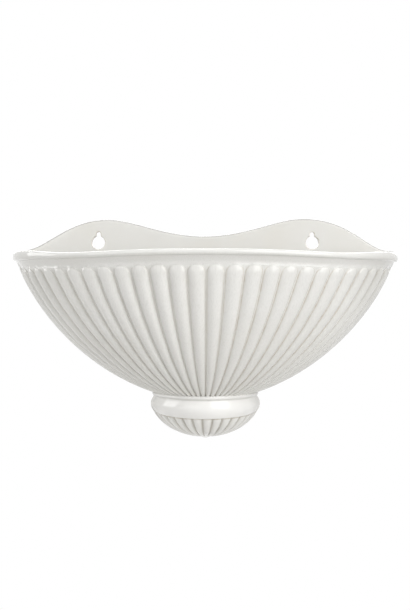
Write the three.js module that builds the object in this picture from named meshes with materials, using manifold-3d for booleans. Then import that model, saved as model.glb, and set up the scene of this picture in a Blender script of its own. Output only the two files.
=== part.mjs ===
/**
 * Wall planter: a half bowl of white glazed earthenware that hangs flat against a wall.
 *
 * Four clay pieces, formed separately and stuck together before the glaze firing: a flat back plate with
 * a two-humped crest and two keyholes, a fluted half bowl with a rounded lip, a smooth collar and a
 * gadrooned drop. The bowl, collar and drop are thin shells that are open at the back, where the plate
 * closes them, so the inside is one hollow from the lip down into the drop.
 *
 * Units are millimetres and +Z is up. The wall is the plane y = 0 and the planter comes forward along -Y.
 * The origin is on the wall face, midway between the centres of the two keyholes.
 */
import * as THREE from 'three';
import { mergeVertices } from 'three/addons/utils/BufferGeometryUtils.js';
import Module from 'manifold-3d';

// ---- Back plate --------------------------------------------------------------------------------------
const PLATE_THICKNESS = 7;
const CREST_ROUNDING = 1.6; // how far the crest's edges are rounded off
const CREST_DIP_HEIGHT = 6.1; // middle of the crest, above the keyhole centres
const CREST_PEAK_HEIGHT = 23; // top of each hump, above the keyhole centres
const CREST_PEAK_OFFSET = 96.4; // from the middle of the plate to the top of a hump
const DIP_SWEEP = 41; // how far the crest runs on level from the dip
const PEAK_INNER_SWEEP = 25.6; // from the top of a hump towards the dip
const PEAK_OUTER_SWEEP = 44.8; // from the top of a hump towards the end
const SHOULDER_SWEEP = 22.2; // from the end of the crest towards the hump
const SHOULDER_DROP = 8.1; // end of the crest, below the keyhole centres
const SHOULDER_INSET = 8.4; // end of the crest, inside the lip's edge
const CORNER_DROP = 1; // tip of the plate's two corners, below the top of the lip
const CORNER_SWEEP_LEVEL = 5.5; // rounding of the two corners
const CORNER_SWEEP_UPRIGHT = 3.6;

// ---- Keyholes ----------------------------------------------------------------------------------------
const KEYHOLE_SPACING = 211;
const KEYHOLE_HEAD_DIAMETER = 12.8;
const KEYHOLE_SLOT_WIDTH = 4.4;
const KEYHOLE_SLOT_RISE = 10.6; // top of the slot above the centre of the round part

// ---- Half bowl ---------------------------------------------------------------------------------------
const RIM_DROP = 12.3; // top of the lip, below the keyhole centres
const LIP_RADIUS = 2.6;
const LIP_FLARE = 4.1; // how far the middle of the lip stands out past the flute heads
const LIP_UNDERCUT = 50; // degrees below level at which the lip's round ends and the band begins
const LIP_INNER_ROUNDING = 8; // height over which the lip rolls over to the inside
const BAND_HEIGHT = 8.9; // plain hollow band between the lip and the flute heads
const BAND_SLOPE = 0.15; // how much the band still leans out where it meets the flute heads
const BAND_RECESS = 1.5; // how far the foot of the band lies behind the flutes
const HEAD_HALF_WIDTH = 183; // bowl at the flute heads
const HEAD_DEPTH = 131.5; // from the wall to the front of the bowl at the flute heads
const FLUTED_HEIGHT = 121.6; // flute heads down to the foot of the bowl
const FOOT_HALF_WIDTH = 51.8;
const FOOT_DEPTH = 62; // from the wall to the front of the foot
const HEAD_END_ANGLE = 85; // degrees round the plan's arc from its front to the plate, at the flute heads
const FOOT_END_ANGLE = 72; // the same at the foot and below
const SIDE_ANGLE = 21.1; // degrees from upright at which the side leaves the flute heads
const SIDE_SWEEP = 44.1;
const BELLY_ANGLE = 18.3; // degrees above level at which the belly reaches the foot
const BELLY_SWEEP = 71.2;
const BOWL_WALL = 6.5;
const FLUTE_COUNT = 28;
const FLUTE_HEAD_RADIUS = 8.2;
const FLUTE_RELIEF_TOP = 2.8; // depth of the grooves under the heads
const FLUTE_RELIEF_FOOT = 1.2; // depth of the grooves at the foot
const GROOVE_RUN_IN = 16; // height over which a groove reaches its full depth

// ---- Collar ------------------------------------------------------------------------------------------
const COLLAR_HEIGHT = 20.2;
const COLLAR_FILLET_HEIGHT = 2.2;
const COLLAR_HOLLOW_HEIGHT = 1.6;
const COLLAR_HOLLOW = 0.7; // how far the hollow lies behind the fillet
const COLLAR_ROLL = 3.2; // how far the roll swells
const COLLAR_WALL = 6;

// ---- Gadrooned drop ----------------------------------------------------------------------------------
const DROP_HALF_WIDTH = 50.1;
const DROP_DEPTH = 59; // from the wall to the front of the drop
const DROP_HEIGHT = 23.6;
const DROP_SHOULDER = 1.18; // 2 is a plain ellipse, less falls away sooner at the shoulder
const DROP_BELLY = 2.59; // 2 is a plain ellipse, more stays broader towards the bottom
const DROP_WALL = 6;
const TIP_HALF_WIDTH = 8;
const TIP_HEIGHT = 2;
const GADROON_COUNT = 13;
const GADROON_RELIEF = 1.3;

// ---- Fineness of the mesh ----------------------------------------------------------------------------
const CREST_STEPS = 12; // along each of the crest's curves
const CORNER_STEPS = 4;
const KEYHOLE_STEPS = 12; // round the round part of a keyhole
const ROUNDING_STEPS = 2;
const BODY_STEPS = 10; // down the fluted body
const LIP_STEPS = 5; // round the outside of the lip
const BAND_STEPS = 3; // up the hollow band
const INNER_LIP_STEPS = 3;
const ROLL_STEPS = 6; // down the collar's roll
const DROP_STEPS = 6;
const INNER_STEPS = 6; // down the inside of the bowl
const COLLAR_FACETS = 36; // round the collar
const ROW_CROWDING = 1.5; // 1 spaces rows evenly, more crowds them towards the bottom of a bowl or cup
const CURVE_SAMPLES = 300; // fine points on a curve that is only measured
const BEAD_SQUARENESS = 2.4; // 2 is a half round flute, more has a broader face and narrower grooves
const TIP_DEGREES = [0, 40, 90]; // rows of the drop's tip, as angles from its lowest point
const JOIN_DISTANCE = 1e-4; // corners nearer than this are one corner
const QUARTER_TURN = Math.PI / 2;
const FACET_EDGES = [0, 0.22, 0.5, 0.78]; // where the facets of one flute meet, from groove to groove
const HEAD_ROWS = [1, 0.42, 0.14, 0]; // rows in the round heads, as shares of their radius

// ---- Levels worked out from the sizes above ----------------------------------------------------------
const RIM_TOP = -RIM_DROP;
const LIP_CENTRE_LEVEL = RIM_TOP - LIP_RADIUS;
const HEAD_LEVEL = LIP_CENTRE_LEVEL - LIP_RADIUS - BAND_HEIGHT;
const BOWL_FOOT = HEAD_LEVEL - FLUTED_HEIGHT;
const COLLAR_FOOT = BOWL_FOOT - COLLAR_HEIGHT;
const DROP_FOOT = COLLAR_FOOT - DROP_HEIGHT;
const LIP_EDGE = HEAD_HALF_WIDTH + LIP_FLARE + LIP_RADIUS;
const CORNER_LEVEL = RIM_TOP - CORNER_DROP;

const COLOURS = { plate: 0xe1e0db, bowl: 0xdedcd6, collar: 0xf0efeb, drop: 0xd8d6d0 };

const radians = THREE.MathUtils.degToRad;
const mix = THREE.MathUtils.lerp;
const clamp = THREE.MathUtils.clamp;

// ---- Profiles ----------------------------------------------------------------------------------------
// A row is one level of a shell: its height z, its half width w, its depth d in front of the plate and the
// end angle of its plan, which is an arc stretched to that width and depth. Outer rows run upwards and
// inner rows run downwards.

/** Depth and end angle of the bowl where its half width is w, between the foot and the flute heads. */
function bowlPlan(w) {
  const share = (w - FOOT_HALF_WIDTH) / (HEAD_HALF_WIDTH - FOOT_HALF_WIDTH);
  return {
    d: mix(FOOT_DEPTH, HEAD_DEPTH, share) - PLATE_THICKNESS,
    end: radians(mix(FOOT_END_ANGLE, HEAD_END_ANGLE, share)),
  };
}

/** Fine points along the side of the bowl from its foot to the flute heads, as x across and y up. */
function sidePoints() {
  const belly = radians(BELLY_ANGLE);
  const side = radians(SIDE_ANGLE);
  const foot = new THREE.Vector2(FOOT_HALF_WIDTH, BOWL_FOOT);
  const head = new THREE.Vector2(HEAD_HALF_WIDTH, HEAD_LEVEL);
  const alongBelly = new THREE.Vector2(Math.cos(belly), Math.sin(belly)).multiplyScalar(BELLY_SWEEP);
  const alongSide = new THREE.Vector2(Math.sin(side), Math.cos(side)).multiplyScalar(SIDE_SWEEP);
  const leave = foot.clone().add(alongBelly);
  const arrive = head.clone().sub(alongSide);
  return new THREE.CubicBezierCurve(foot, leave, arrive, head).getPoints(CURVE_SAMPLES);
}

/** A row of the bowl's body at height z, found on the fine points of its side. */
function bodyRow(points, z) {
  const below = points.filter((point) => point.y < z).length;
  const next = clamp(below, 1, points.length - 1);
  const lower = points[next - 1];
  const upper = points[next];
  const slope = (upper.x - lower.x) / (upper.y - lower.y);
  const w = lower.x + slope * (z - lower.y);
  return { w, z, ...bowlPlan(w), slope };
}

/** The hollow band from the flute heads up to the lip, as x across and y up. */
function bandCurve() {
  const turn = radians(LIP_UNDERCUT);
  const foot = new THREE.Vector2(HEAD_HALF_WIDTH, HEAD_LEVEL);
  const top = new THREE.Vector2(
    HEAD_HALF_WIDTH + LIP_FLARE + LIP_RADIUS * Math.cos(turn),
    LIP_CENTRE_LEVEL - LIP_RADIUS * Math.sin(turn),
  );
  const rise = top.y - foot.y;
  const fall = (top.x - foot.x - BAND_SLOPE * rise) / (Math.tan(turn) - BAND_SLOPE);
  const bend = new THREE.Vector2(foot.x + BAND_SLOPE * (rise - fall), top.y - fall);
  return new THREE.QuadraticBezierCurve(foot, bend, top);
}

/** Outer rows of the bowl: the body, the round heads of the flutes, the band and the lip to its crown. */
function bowlOuterRows() {
  const points = sidePoints();
  const heads = bowlPlan(HEAD_HALF_WIDTH);
  const rows = [];
  for (let step = 0; step < BODY_STEPS; step += 1) {
    const share = (step / BODY_STEPS) ** ROW_CROWDING;
    rows.push(bodyRow(points, mix(BOWL_FOOT, HEAD_LEVEL - FLUTE_HEAD_RADIUS, share)));
  }
  for (const share of HEAD_ROWS) {
    rows.push(bodyRow(points, HEAD_LEVEL - share * FLUTE_HEAD_RADIUS));
  }
  for (const point of bandCurve().getPoints(BAND_STEPS).slice(1, -1)) {
    rows.push({ ...heads, w: point.x, z: point.y, d: heads.d + point.x - HEAD_HALF_WIDTH });
  }
  for (let step = 0; step <= LIP_STEPS; step += 1) {
    const turn = radians(mix(-LIP_UNDERCUT, 90, step / LIP_STEPS));
    const out = LIP_FLARE + LIP_RADIUS * Math.cos(turn);
    const z = LIP_CENTRE_LEVEL + LIP_RADIUS * Math.sin(turn);
    rows.push({ ...heads, w: HEAD_HALF_WIDTH + out, z, d: heads.d + out });
  }
  return rows;
}

/** A row of the bowl's inside, one wall's thickness behind the outside and no narrower than the throat. */
function bowlInnerRow(points, z) {
  const row = bodyRow(points, z);
  const frontSlope = row.slope * (HEAD_DEPTH - FOOT_DEPTH) / (HEAD_HALF_WIDTH - FOOT_HALF_WIDTH);
  const w = row.w - BOWL_WALL * Math.hypot(1, row.slope);
  const d = row.d - BOWL_WALL * Math.hypot(1, frontSlope);
  const throatWidth = FOOT_HALF_WIDTH - BOWL_WALL;
  const throatDepth = FOOT_DEPTH - PLATE_THICKNESS - BOWL_WALL;
  return { ...row, w: Math.max(w, throatWidth), d: Math.max(d, throatDepth) };
}

/** Inner rows of the bowl: over the crown of the lip and down the inside to the throat. */
function bowlInnerRows() {
  const points = sidePoints();
  const top = bowlInnerRow(points, HEAD_LEVEL);
  const crown = new THREE.Vector2(HEAD_HALF_WIDTH + LIP_FLARE, RIM_TOP);
  const inner = new THREE.Vector2(top.w, RIM_TOP - LIP_INNER_ROUNDING);
  const roll = new THREE.QuadraticBezierCurve(crown, new THREE.Vector2(inner.x, crown.y), inner);
  const rows = [];
  for (const point of roll.getPoints(INNER_LIP_STEPS).slice(1)) {
    rows.push({ ...top, w: point.x, z: point.y, d: top.d + point.x - top.w });
  }
  for (let step = 0; step <= INNER_STEPS; step += 1) {
    const share = (1 - step / INNER_STEPS) ** ROW_CROWDING;
    rows.push(bowlInnerRow(points, mix(BOWL_FOOT, HEAD_LEVEL, share)));
  }
  return rows;
}

/** Outer rows of the collar: roll, hollow and fillet. */
function collarOuterRows() {
  const rollTop = BOWL_FOOT - COLLAR_FILLET_HEIGHT - COLLAR_HOLLOW_HEIGHT;
  const { end } = bowlPlan(FOOT_HALF_WIDTH);
  const rows = [];
  for (let step = 0; step <= ROLL_STEPS; step += 1) {
    const share = step / ROLL_STEPS;
    const out = COLLAR_ROLL * Math.sin(Math.PI * share) - COLLAR_HOLLOW * share;
    const w = mix(DROP_HALF_WIDTH, FOOT_HALF_WIDTH, share) + out;
    const d = mix(DROP_DEPTH, FOOT_DEPTH, share) - PLATE_THICKNESS + out;
    rows.push({ w, z: mix(COLLAR_FOOT, rollTop, share), d, end });
  }
  for (const z of [BOWL_FOOT - COLLAR_FILLET_HEIGHT, BOWL_FOOT]) {
    rows.push({ w: FOOT_HALF_WIDTH, z, d: FOOT_DEPTH - PLATE_THICKNESS, end });
  }
  return rows;
}

/** Inner rows of the collar: one plain tapering wall. */
function collarInnerRows() {
  const behind = PLATE_THICKNESS + COLLAR_WALL;
  const { end } = bowlPlan(FOOT_HALF_WIDTH);
  return [
    { w: FOOT_HALF_WIDTH - COLLAR_WALL, z: BOWL_FOOT, d: FOOT_DEPTH - behind, end },
    { w: DROP_HALF_WIDTH - COLLAR_WALL, z: COLLAR_FOOT, d: DROP_DEPTH - behind, end },
  ];
}

/** Rows of one skin of the drop's dome, from near its lowest point up to the collar. */
function domeRows(wall) {
  const rows = [];
  for (let step = 1; step <= DROP_STEPS; step += 1) {
    const down = 1 - (step / DROP_STEPS) ** ROW_CROWDING;
    const share = (1 - down ** DROP_SHOULDER) ** (1 / DROP_BELLY);
    rows.push({
      w: (DROP_HALF_WIDTH - wall) * share,
      z: COLLAR_FOOT - (DROP_HEIGHT - wall) * down,
      d: (DROP_DEPTH - PLATE_THICKNESS - wall) * share,
      end: radians(FOOT_END_ANGLE),
    });
  }
  return rows;
}

/** Outer rows of the drop: the little rounded tip and the dome. */
function dropOuterRows() {
  const tip = TIP_DEGREES.map((degrees) => {
    const w = TIP_HALF_WIDTH * Math.sin(radians(degrees));
    const z = DROP_FOOT - TIP_HEIGHT * Math.cos(radians(degrees));
    return { w, z, d: w, end: radians(FOOT_END_ANGLE) };
  });
  return [...tip, ...domeRows(0)];
}

/** Inner rows of the drop: down the inside of the dome to its floor. */
function dropInnerRows() {
  const floor = { w: 0, z: DROP_FOOT + DROP_WALL, d: 0, end: radians(FOOT_END_ANGLE) };
  return [...domeRows(DROP_WALL).reverse(), floor];
}

// ---- Flutes and gadroons -----------------------------------------------------------------------------

/** Evenly spaced places round a plan, from -1 to 1. */
function evenBounds(count) {
  return Array.from({ length: count + 1 }, (_, index) => mix(-1, 1, index / count));
}

/** Places round the bowl, from -1 to 1, that part it into flutes of equal width at their heads. */
function fluteBounds() {
  const { d, end } = bowlPlan(HEAD_HALF_WIDTH);
  const heads = { w: HEAD_HALF_WIDTH, z: HEAD_LEVEL, d, end };
  const places = evenBounds(CURVE_SAMPLES);
  const lengths = [0];
  for (let step = 1; step <= CURVE_SAMPLES; step += 1) {
    const from = planPoint(heads, places[step - 1], 0);
    lengths.push(lengths[step - 1] + from.distanceTo(planPoint(heads, places[step], 0)));
  }
  return evenBounds(FLUTE_COUNT).map((_, flute) => {
    const target = lengths[CURVE_SAMPLES] * flute / FLUTE_COUNT;
    const step = clamp(lengths.findIndex((length) => length >= target), 1, CURVE_SAMPLES);
    const share = (target - lengths[step - 1]) / (lengths[step] - lengths[step - 1]);
    return mix(places[step - 1], places[step], share);
  });
}

/** Columns of facet edges between the given bounds, each with its place across its flute. */
function flutedColumns(bounds) {
  const columns = [];
  for (let flute = 0; flute < bounds.length - 1; flute += 1) {
    for (const across of FACET_EDGES) {
      columns.push({ place: mix(bounds[flute], bounds[flute + 1], across), across });
    }
  }
  return [...columns, { place: bounds[bounds.length - 1], across: 0 }];
}

/** Height of a rounded bead as a share of its relief, across it from groove (0) to groove (1). */
function bead(across, span = 1) {
  const off = span > 0 ? Math.abs(2 * across - 1) / span : 1;
  return off < 1 ? Math.sqrt(1 - off ** BEAD_SQUARENESS) : 0;
}

/** How far the bowl's skin lies behind its outline: grooves between flutes, and the recessed band. */
function bowlCarve(row, across) {
  const below = HEAD_LEVEL - row.z;
  if (below < 0) {
    return BAND_RECESS * clamp(1 + below / BAND_HEIGHT, 0, 1);
  }
  const relief = mix(FLUTE_RELIEF_TOP, FLUTE_RELIEF_FOOT, below / FLUTED_HEIGHT);
  const groove = mix(BAND_RECESS, relief, clamp(below / GROOVE_RUN_IN, 0, 1));
  const beyond = clamp(1 - below / FLUTE_HEAD_RADIUS, 0, 1);
  return groove * (1 - bead(across, Math.sqrt(1 - beyond ** 2)));
}

/** How far the drop's skin lies behind its outline: gadroons that fade into the tip. */
function dropCarve(row, across) {
  const fade = clamp((row.w - TIP_HALF_WIDTH) / (DROP_HALF_WIDTH / 2 - TIP_HALF_WIDTH), 0, 1);
  return GADROON_RELIEF * fade * (1 - bead(across));
}

// ---- Solids ------------------------------------------------------------------------------------------

/**
 * A point of a row, at a place round its plan and set back level by the given carve. The place runs from
 * -1 to 1, and the carve turns with it from straight back at the front to straight across at the plate.
 */
function planPoint(row, place, carve) {
  const angle = place * row.end;
  const turn = place * QUARTER_TURN;
  const across = Math.sin(angle) / Math.sin(row.end);
  const forward = (Math.cos(angle) - Math.cos(row.end)) / (1 - Math.cos(row.end));
  const reach = Math.hypot(row.d * Math.sin(turn), row.w * Math.cos(turn)) || 1;
  const x = row.w * across - carve * row.d * Math.sin(turn) / reach;
  const y = row.d * forward - carve * row.w * Math.cos(turn) / reach;
  return new THREE.Vector3(x, -PLATE_THICKNESS - y, row.z);
}

/** How much longer a carve is when it is measured level instead of square to the leaning skin. */
function lean(rows, index, place) {
  const angle = place * QUARTER_TURN;
  const row = rows[index];
  const next = rows[Math.min(index + 1, rows.length - 1)];
  const last = rows[Math.max(index - 1, 0)];
  const rise = next.z - last.z;
  const side = (next.w - last.w) / rise / row.w;
  const front = (next.d - last.d) / rise / row.d;
  const across = Math.sin(angle) ** 2;
  const forward = Math.cos(angle) ** 2;
  const level = Math.hypot(Math.sin(angle) / row.w, Math.cos(angle) / row.d);
  return Math.hypot(level, across * side + forward * front) / level;
}

/** A closed mesh from triangles of corner points, with equal corners joined and empty triangles dropped. */
function closedGeometry(triangles) {
  const loose = new THREE.BufferGeometry().setFromPoints(triangles.flat());
  const joined = mergeVertices(loose, JOIN_DISTANCE);
  const corners = joined.index.array;
  const kept = [];
  for (let first = 0; first < corners.length; first += 3) {
    const [a, b, c] = corners.slice(first, first + 3);
    if (a !== b && b !== c && c !== a) {
      kept.push(a, b, c);
    }
  }
  joined.setIndex(kept);
  return joined;
}

/**
 * A shell swept round the half plan: its section runs up the outer rows and down the inner rows, and its
 * two ends lie flat on the plate.
 */
function shellGeometry(columns, outerRows, innerRows, carve) {
  const sections = columns.map(({ place, across }) => [
    ...outerRows.map((row, index) => {
      const depth = carve(row, across);
      return planPoint(row, place, depth > 0 ? depth * lean(outerRows, index, place) : 0);
    }),
    ...innerRows.map((row) => planPoint(row, place, 0)),
  ]);
  const triangles = [];
  for (let column = 0; column < sections.length - 1; column += 1) {
    const left = sections[column];
    const right = sections[column + 1];
    for (let row = 0; row < left.length; row += 1) {
      const above = (row + 1) % left.length;
      triangles.push([left[row], right[row], right[above]], [left[row], right[above], left[above]]);
    }
  }
  for (const section of [sections[0], sections[sections.length - 1]]) {
    const outline = section.map((point) => new THREE.Vector2(point.x, point.z));
    for (const [a, b, c] of THREE.ShapeUtils.triangulateShape(outline, [])) {
      const turns = THREE.ShapeUtils.area([outline[a], outline[b], outline[c]]) > 0;
      triangles.push(turns ? [section[a], section[c], section[b]] : [section[a], section[b], section[c]]);
    }
  }
  const geometry = closedGeometry(triangles);
  geometry.computeVertexNormals();
  return geometry;
}

/** Right half of the plate's outline, from the dip of the crest round to the tip under the drop. */
function plateHalfOutline() {
  const dip = new THREE.Vector2(0, CREST_DIP_HEIGHT);
  const peak = new THREE.Vector2(CREST_PEAK_OFFSET, CREST_PEAK_HEIGHT);
  const end = new THREE.Vector2(LIP_EDGE - SHOULDER_INSET, -SHOULDER_DROP);
  const edge = new THREE.Vector2(LIP_EDGE, CORNER_LEVEL);
  const shift = (point, x, y) => new THREE.Vector2(point.x + x, point.y + y);
  const curves = [
    [dip, shift(dip, DIP_SWEEP, 0), shift(peak, -PEAK_INNER_SWEEP, 0), peak, CREST_STEPS],
    [peak, shift(peak, PEAK_OUTER_SWEEP, 0), shift(end, -SHOULDER_SWEEP, 0), end, CREST_STEPS],
    [end, shift(end, CORNER_SWEEP_LEVEL, 0), shift(edge, 0, CORNER_SWEEP_UPRIGHT), edge, CORNER_STEPS],
  ];
  const crest = curves.flatMap(([from, leave, arrive, to, steps]) => (
    new THREE.CubicBezierCurve(from, leave, arrive, to).getPoints(steps).slice(0, -1)
  ));
  const below = [...dropOuterRows(), ...collarOuterRows(), ...bowlOuterRows()]
    .filter((row) => row.z < LIP_CENTRE_LEVEL - 0.1)
    .map((row) => new THREE.Vector2(row.w, row.z));
  return [...crest, edge, ...below.reverse()];
}

/** The plate's whole outline with its two keyholes. */
function plateShape() {
  const right = plateHalfOutline();
  const left = right.slice(1, -1).reverse().map((point) => new THREE.Vector2(-point.x, point.y));
  const shape = new THREE.Shape([...right, ...left]);
  const headRadius = KEYHOLE_HEAD_DIAMETER / 2;
  const slotRadius = KEYHOLE_SLOT_WIDTH / 2;
  const neckAngle = Math.acos(slotRadius / headRadius);
  const slotTop = KEYHOLE_SLOT_RISE - slotRadius;
  for (const side of [-1, 1]) {
    const centre = side * KEYHOLE_SPACING / 2;
    const keyhole = new THREE.Path();
    keyhole.absarc(centre, 0, headRadius, Math.PI - neckAngle, neckAngle, false);
    keyhole.absarc(centre, slotTop, slotRadius, 0, Math.PI, false);
    shape.holes.push(keyhole);
  }
  return shape;
}

/** A flat plate of the given shape against the wall, with its edges rounded off if asked. */
function plateGeometry(shape, rounding) {
  const geometry = new THREE.ExtrudeGeometry(shape, {
    depth: PLATE_THICKNESS - 2 * rounding,
    curveSegments: KEYHOLE_STEPS,
    bevelEnabled: rounding > 0,
    bevelThickness: rounding,
    bevelSize: rounding,
    bevelOffset: -rounding,
    bevelSegments: ROUNDING_STEPS,
  });
  geometry.translate(0, 0, rounding);
  const upright = new THREE.Matrix4().set(1, 0, 0, 0, 0, 0, -1, 0, 0, 1, 0, 0, 0, 0, 0, 1);
  return geometry.applyMatrix4(upright);
}

const wasm = await Module();
wasm.setup();

/** The solid of a closed geometry, ready to be joined or cut. */
function solidOf(geometry) {
  const bare = geometry.clone();
  bare.deleteAttribute('normal');
  bare.deleteAttribute('uv');
  const joined = mergeVertices(bare, JOIN_DISTANCE);
  const mesh = new wasm.Mesh({
    numProp: 3,
    vertProperties: new Float32Array(joined.attributes.position.array),
    triVerts: new Uint32Array(joined.index.array),
  });
  return new wasm.Manifold(mesh);
}

/** The geometry of a solid. */
function geometryOf(solid) {
  const mesh = solid.getMesh();
  const geometry = new THREE.BufferGeometry();
  geometry.setAttribute('position', new THREE.BufferAttribute(mesh.vertProperties, 3));
  geometry.setIndex(new THREE.BufferAttribute(mesh.triVerts, 1));
  geometry.computeVertexNormals();
  return geometry;
}

/** Back plate: rounded edges on the crest and the keyholes, square edges where the shells meet it. */
function backPlate() {
  const shape = plateShape();
  const width = 3 * LIP_EDGE;
  const height = 2 * (LIP_CENTRE_LEVEL - DROP_FOOT);
  const lowerHalf = new THREE.BoxGeometry(width, 4 * PLATE_THICKNESS, height);
  lowerHalf.translate(0, 0, LIP_CENTRE_LEVEL - height / 2);
  const square = solidOf(plateGeometry(shape, 0)).intersect(solidOf(lowerHalf));
  return geometryOf(solidOf(plateGeometry(shape, CREST_ROUNDING)).add(square));
}

/** Half bowl: the fluted shell with its band and rolled lip. */
function flutedBowl() {
  return shellGeometry(flutedColumns(fluteBounds()), bowlOuterRows(), bowlInnerRows(), bowlCarve);
}

/** Collar: a smooth half ring under the bowl. */
function neckCollar() {
  const columns = evenBounds(COLLAR_FACETS).map((place) => ({ place, across: 0 }));
  return shellGeometry(columns, collarOuterRows(), collarInnerRows(), () => 0);
}

/** Gadrooned drop: the half cup that closes the bottom. */
function gadroonedDrop() {
  return shellGeometry(flutedColumns(evenBounds(GADROON_COUNT)), dropOuterRows(), dropInnerRows(), dropCarve);
}

// ---- The planter -------------------------------------------------------------------------------------

/** A named piece of glazed earthenware. */
function piece(name, geometry, color) {
  const glaze = new THREE.MeshStandardMaterial({ color, roughness: 0.18, metalness: 0 });
  const mesh = new THREE.Mesh(geometry, glaze);
  mesh.name = name;
  return mesh;
}

const planter = new THREE.Group();
planter.name = 'wall_planter';
planter.add(
  piece('back_plate', backPlate(), COLOURS.plate),
  piece('fluted_bowl', flutedBowl(), COLOURS.bowl),
  piece('neck_collar', neckCollar(), COLOURS.collar),
  piece('gadrooned_drop', gadroonedDrop(), COLOURS.drop),
);

export default planter;
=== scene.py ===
"""Looks of a wall planter of white glazed earthenware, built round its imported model.

The planter is a half bowl that hangs flat against a wall: a back plate with a two-humped crest and two
keyholes, a fluted half bowl with a rounded lip, a smooth collar and a gadrooned drop. Each of the four
clay pieces is one class here, which holds the piece's sizes and makes and dresses its mesh.

Sizes are in millimetres in the model's own frame: the wall is the plane y = 0, the planter comes forward
along -Y, +Z is up and the origin lies midway between the keyholes. Meshes are in metres.
"""

from __future__ import annotations

import logging
import math
from dataclasses import dataclass
from enum import Enum

import bmesh
import bpy
import numpy as np
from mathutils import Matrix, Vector
from mathutils.geometry import delaunay_2d_cdt

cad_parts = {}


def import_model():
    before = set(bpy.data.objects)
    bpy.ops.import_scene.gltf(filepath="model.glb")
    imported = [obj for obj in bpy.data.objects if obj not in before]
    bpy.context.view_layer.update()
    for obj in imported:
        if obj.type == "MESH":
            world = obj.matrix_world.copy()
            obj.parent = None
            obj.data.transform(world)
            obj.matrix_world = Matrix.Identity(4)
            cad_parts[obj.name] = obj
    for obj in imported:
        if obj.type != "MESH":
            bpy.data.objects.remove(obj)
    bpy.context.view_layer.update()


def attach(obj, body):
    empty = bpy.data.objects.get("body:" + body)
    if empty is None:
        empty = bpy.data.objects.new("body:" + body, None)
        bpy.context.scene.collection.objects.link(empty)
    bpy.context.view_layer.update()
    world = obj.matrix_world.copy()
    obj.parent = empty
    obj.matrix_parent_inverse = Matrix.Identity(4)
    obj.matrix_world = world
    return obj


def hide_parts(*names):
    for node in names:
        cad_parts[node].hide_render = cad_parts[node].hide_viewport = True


LOG = logging.getLogger("wall_planter")

MM = 0.001
MERGE_DISTANCE = 0.002  # mm
BODY = "root"

Array = np.ndarray
Socket = bpy.types.NodeSocket


class Trait(Enum):
    """What a mesh tells its glaze, and where it gets painted light and shade, point by point, from 0 to 1."""

    # Painted shade in grooves, hollows, turned edges and towards the ends, partly pooled glaze in the
    # grooves.
    POOL_AND_SHADE = "glaze_pool"
    BREAK = "glaze_break"
    # Painted light on the lip.
    THICK = "painted_lip_light"
    WIPED = "glaze_wiped"


# ---- Small helpers -----------------------------------------------------------------------------------


def linear_colour(code: str) -> tuple[float, float, float, float]:
    """Turns an sRGB colour into the linear one that shaders read.

    Args:
        code: The colour as #RRGGBB.

    Returns:
        Red, green, blue and alpha, from 0 to 1.
    """
    shares = [int(code[start : start + 2], 16) / 255 for start in (1, 3, 5)]
    linear = [s / 12.92 if s <= 0.04045 else ((s + 0.055) / 1.055) ** 2.4 for s in shares]
    return (*linear, 1.0)


def add_node(
    tree: bpy.types.NodeTree, kind: str, inputs: dict | None = None, **settings: object
) -> bpy.types.Node:
    """Adds one shader node with its settings, constants and links.

    Args:
        tree: The tree that gets the node.
        kind: The node's type name.
        inputs: What each input holds, by name or place: a constant, or another node's output.
        **settings: The node's own properties.

    Returns:
        The new node.
    """
    node = tree.nodes.new(kind)
    for name, value in settings.items():
        setattr(node, name, value)
    for key, value in (inputs or {}).items():
        if isinstance(value, bpy.types.NodeSocket):
            tree.links.new(value, node.inputs[key])
        else:
            node.inputs[key].default_value = value
    return node


def empty_tree(owner: bpy.types.Material | bpy.types.World) -> bpy.types.NodeTree:
    """Gives a material or world a node tree with nothing in it.

    Args:
        owner: The material or world.

    Returns:
        The tree.
    """
    owner.use_nodes = True
    owner.node_tree.nodes.clear()
    return owner.node_tree


def add_object(name: str, data: bpy.types.ID) -> bpy.types.Object:
    """Puts a mesh, lamp or camera into the scene.

    Args:
        name: Name of the object.
        data: What it shows.

    Returns:
        The object, at the origin.
    """
    added = bpy.data.objects.new(name, data)
    bpy.context.scene.collection.objects.link(added)
    return added


def smooth_step(values: Array) -> Array:
    """Eases values from 0 to 1: level at both ends, and held at 0 and 1 beyond them."""
    held = np.clip(values, 0.0, 1.0)
    return held * held * (3 - 2 * held)


def bezier(points: list[tuple[float, float]], shares: Array) -> Array:
    """Points on a Bezier curve of any degree, by repeated mixing of neighbours.

    Args:
        points: The end points and the handles between them.
        shares: Places along the curve, from 0 to 1.

    Returns:
        One point for each share.
    """
    level = [np.broadcast_to(np.array(point, float), (len(shares), 2)) for point in points]
    share = shares[:, None]
    while len(level) > 1:
        level = [near * (1 - share) + far * share for near, far in zip(level, level[1:])]
    return level[0]


def arc(centre: tuple[float, float], radius: float, start: float, end: float, steps: int) -> Array:
    """Points round a circle from one angle to another, both in degrees from +X towards +Z."""
    turn = np.radians(np.linspace(start, end, steps + 1))
    return np.array(centre) + radius * np.stack([np.cos(turn), np.sin(turn)], axis=-1)


def evenly_spaced(points: Array, spacing: float) -> Array:
    """Resamples a closed outline at about equal steps.

    Args:
        points: Corners of the outline, without its first one again at the end.
        spacing: The step to aim at.

    Returns:
        The new corners.
    """
    ring = np.vstack([points, points[:1]])
    travelled = np.concatenate([[0.0], np.cumsum(np.hypot(*np.diff(ring, axis=0).T))])
    count = round(travelled[-1] / spacing)
    stops = np.arange(count) * travelled[-1] / count
    return np.stack([np.interp(stops, travelled, ring[:, axis]) for axis in (0, 1)], axis=-1)


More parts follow.
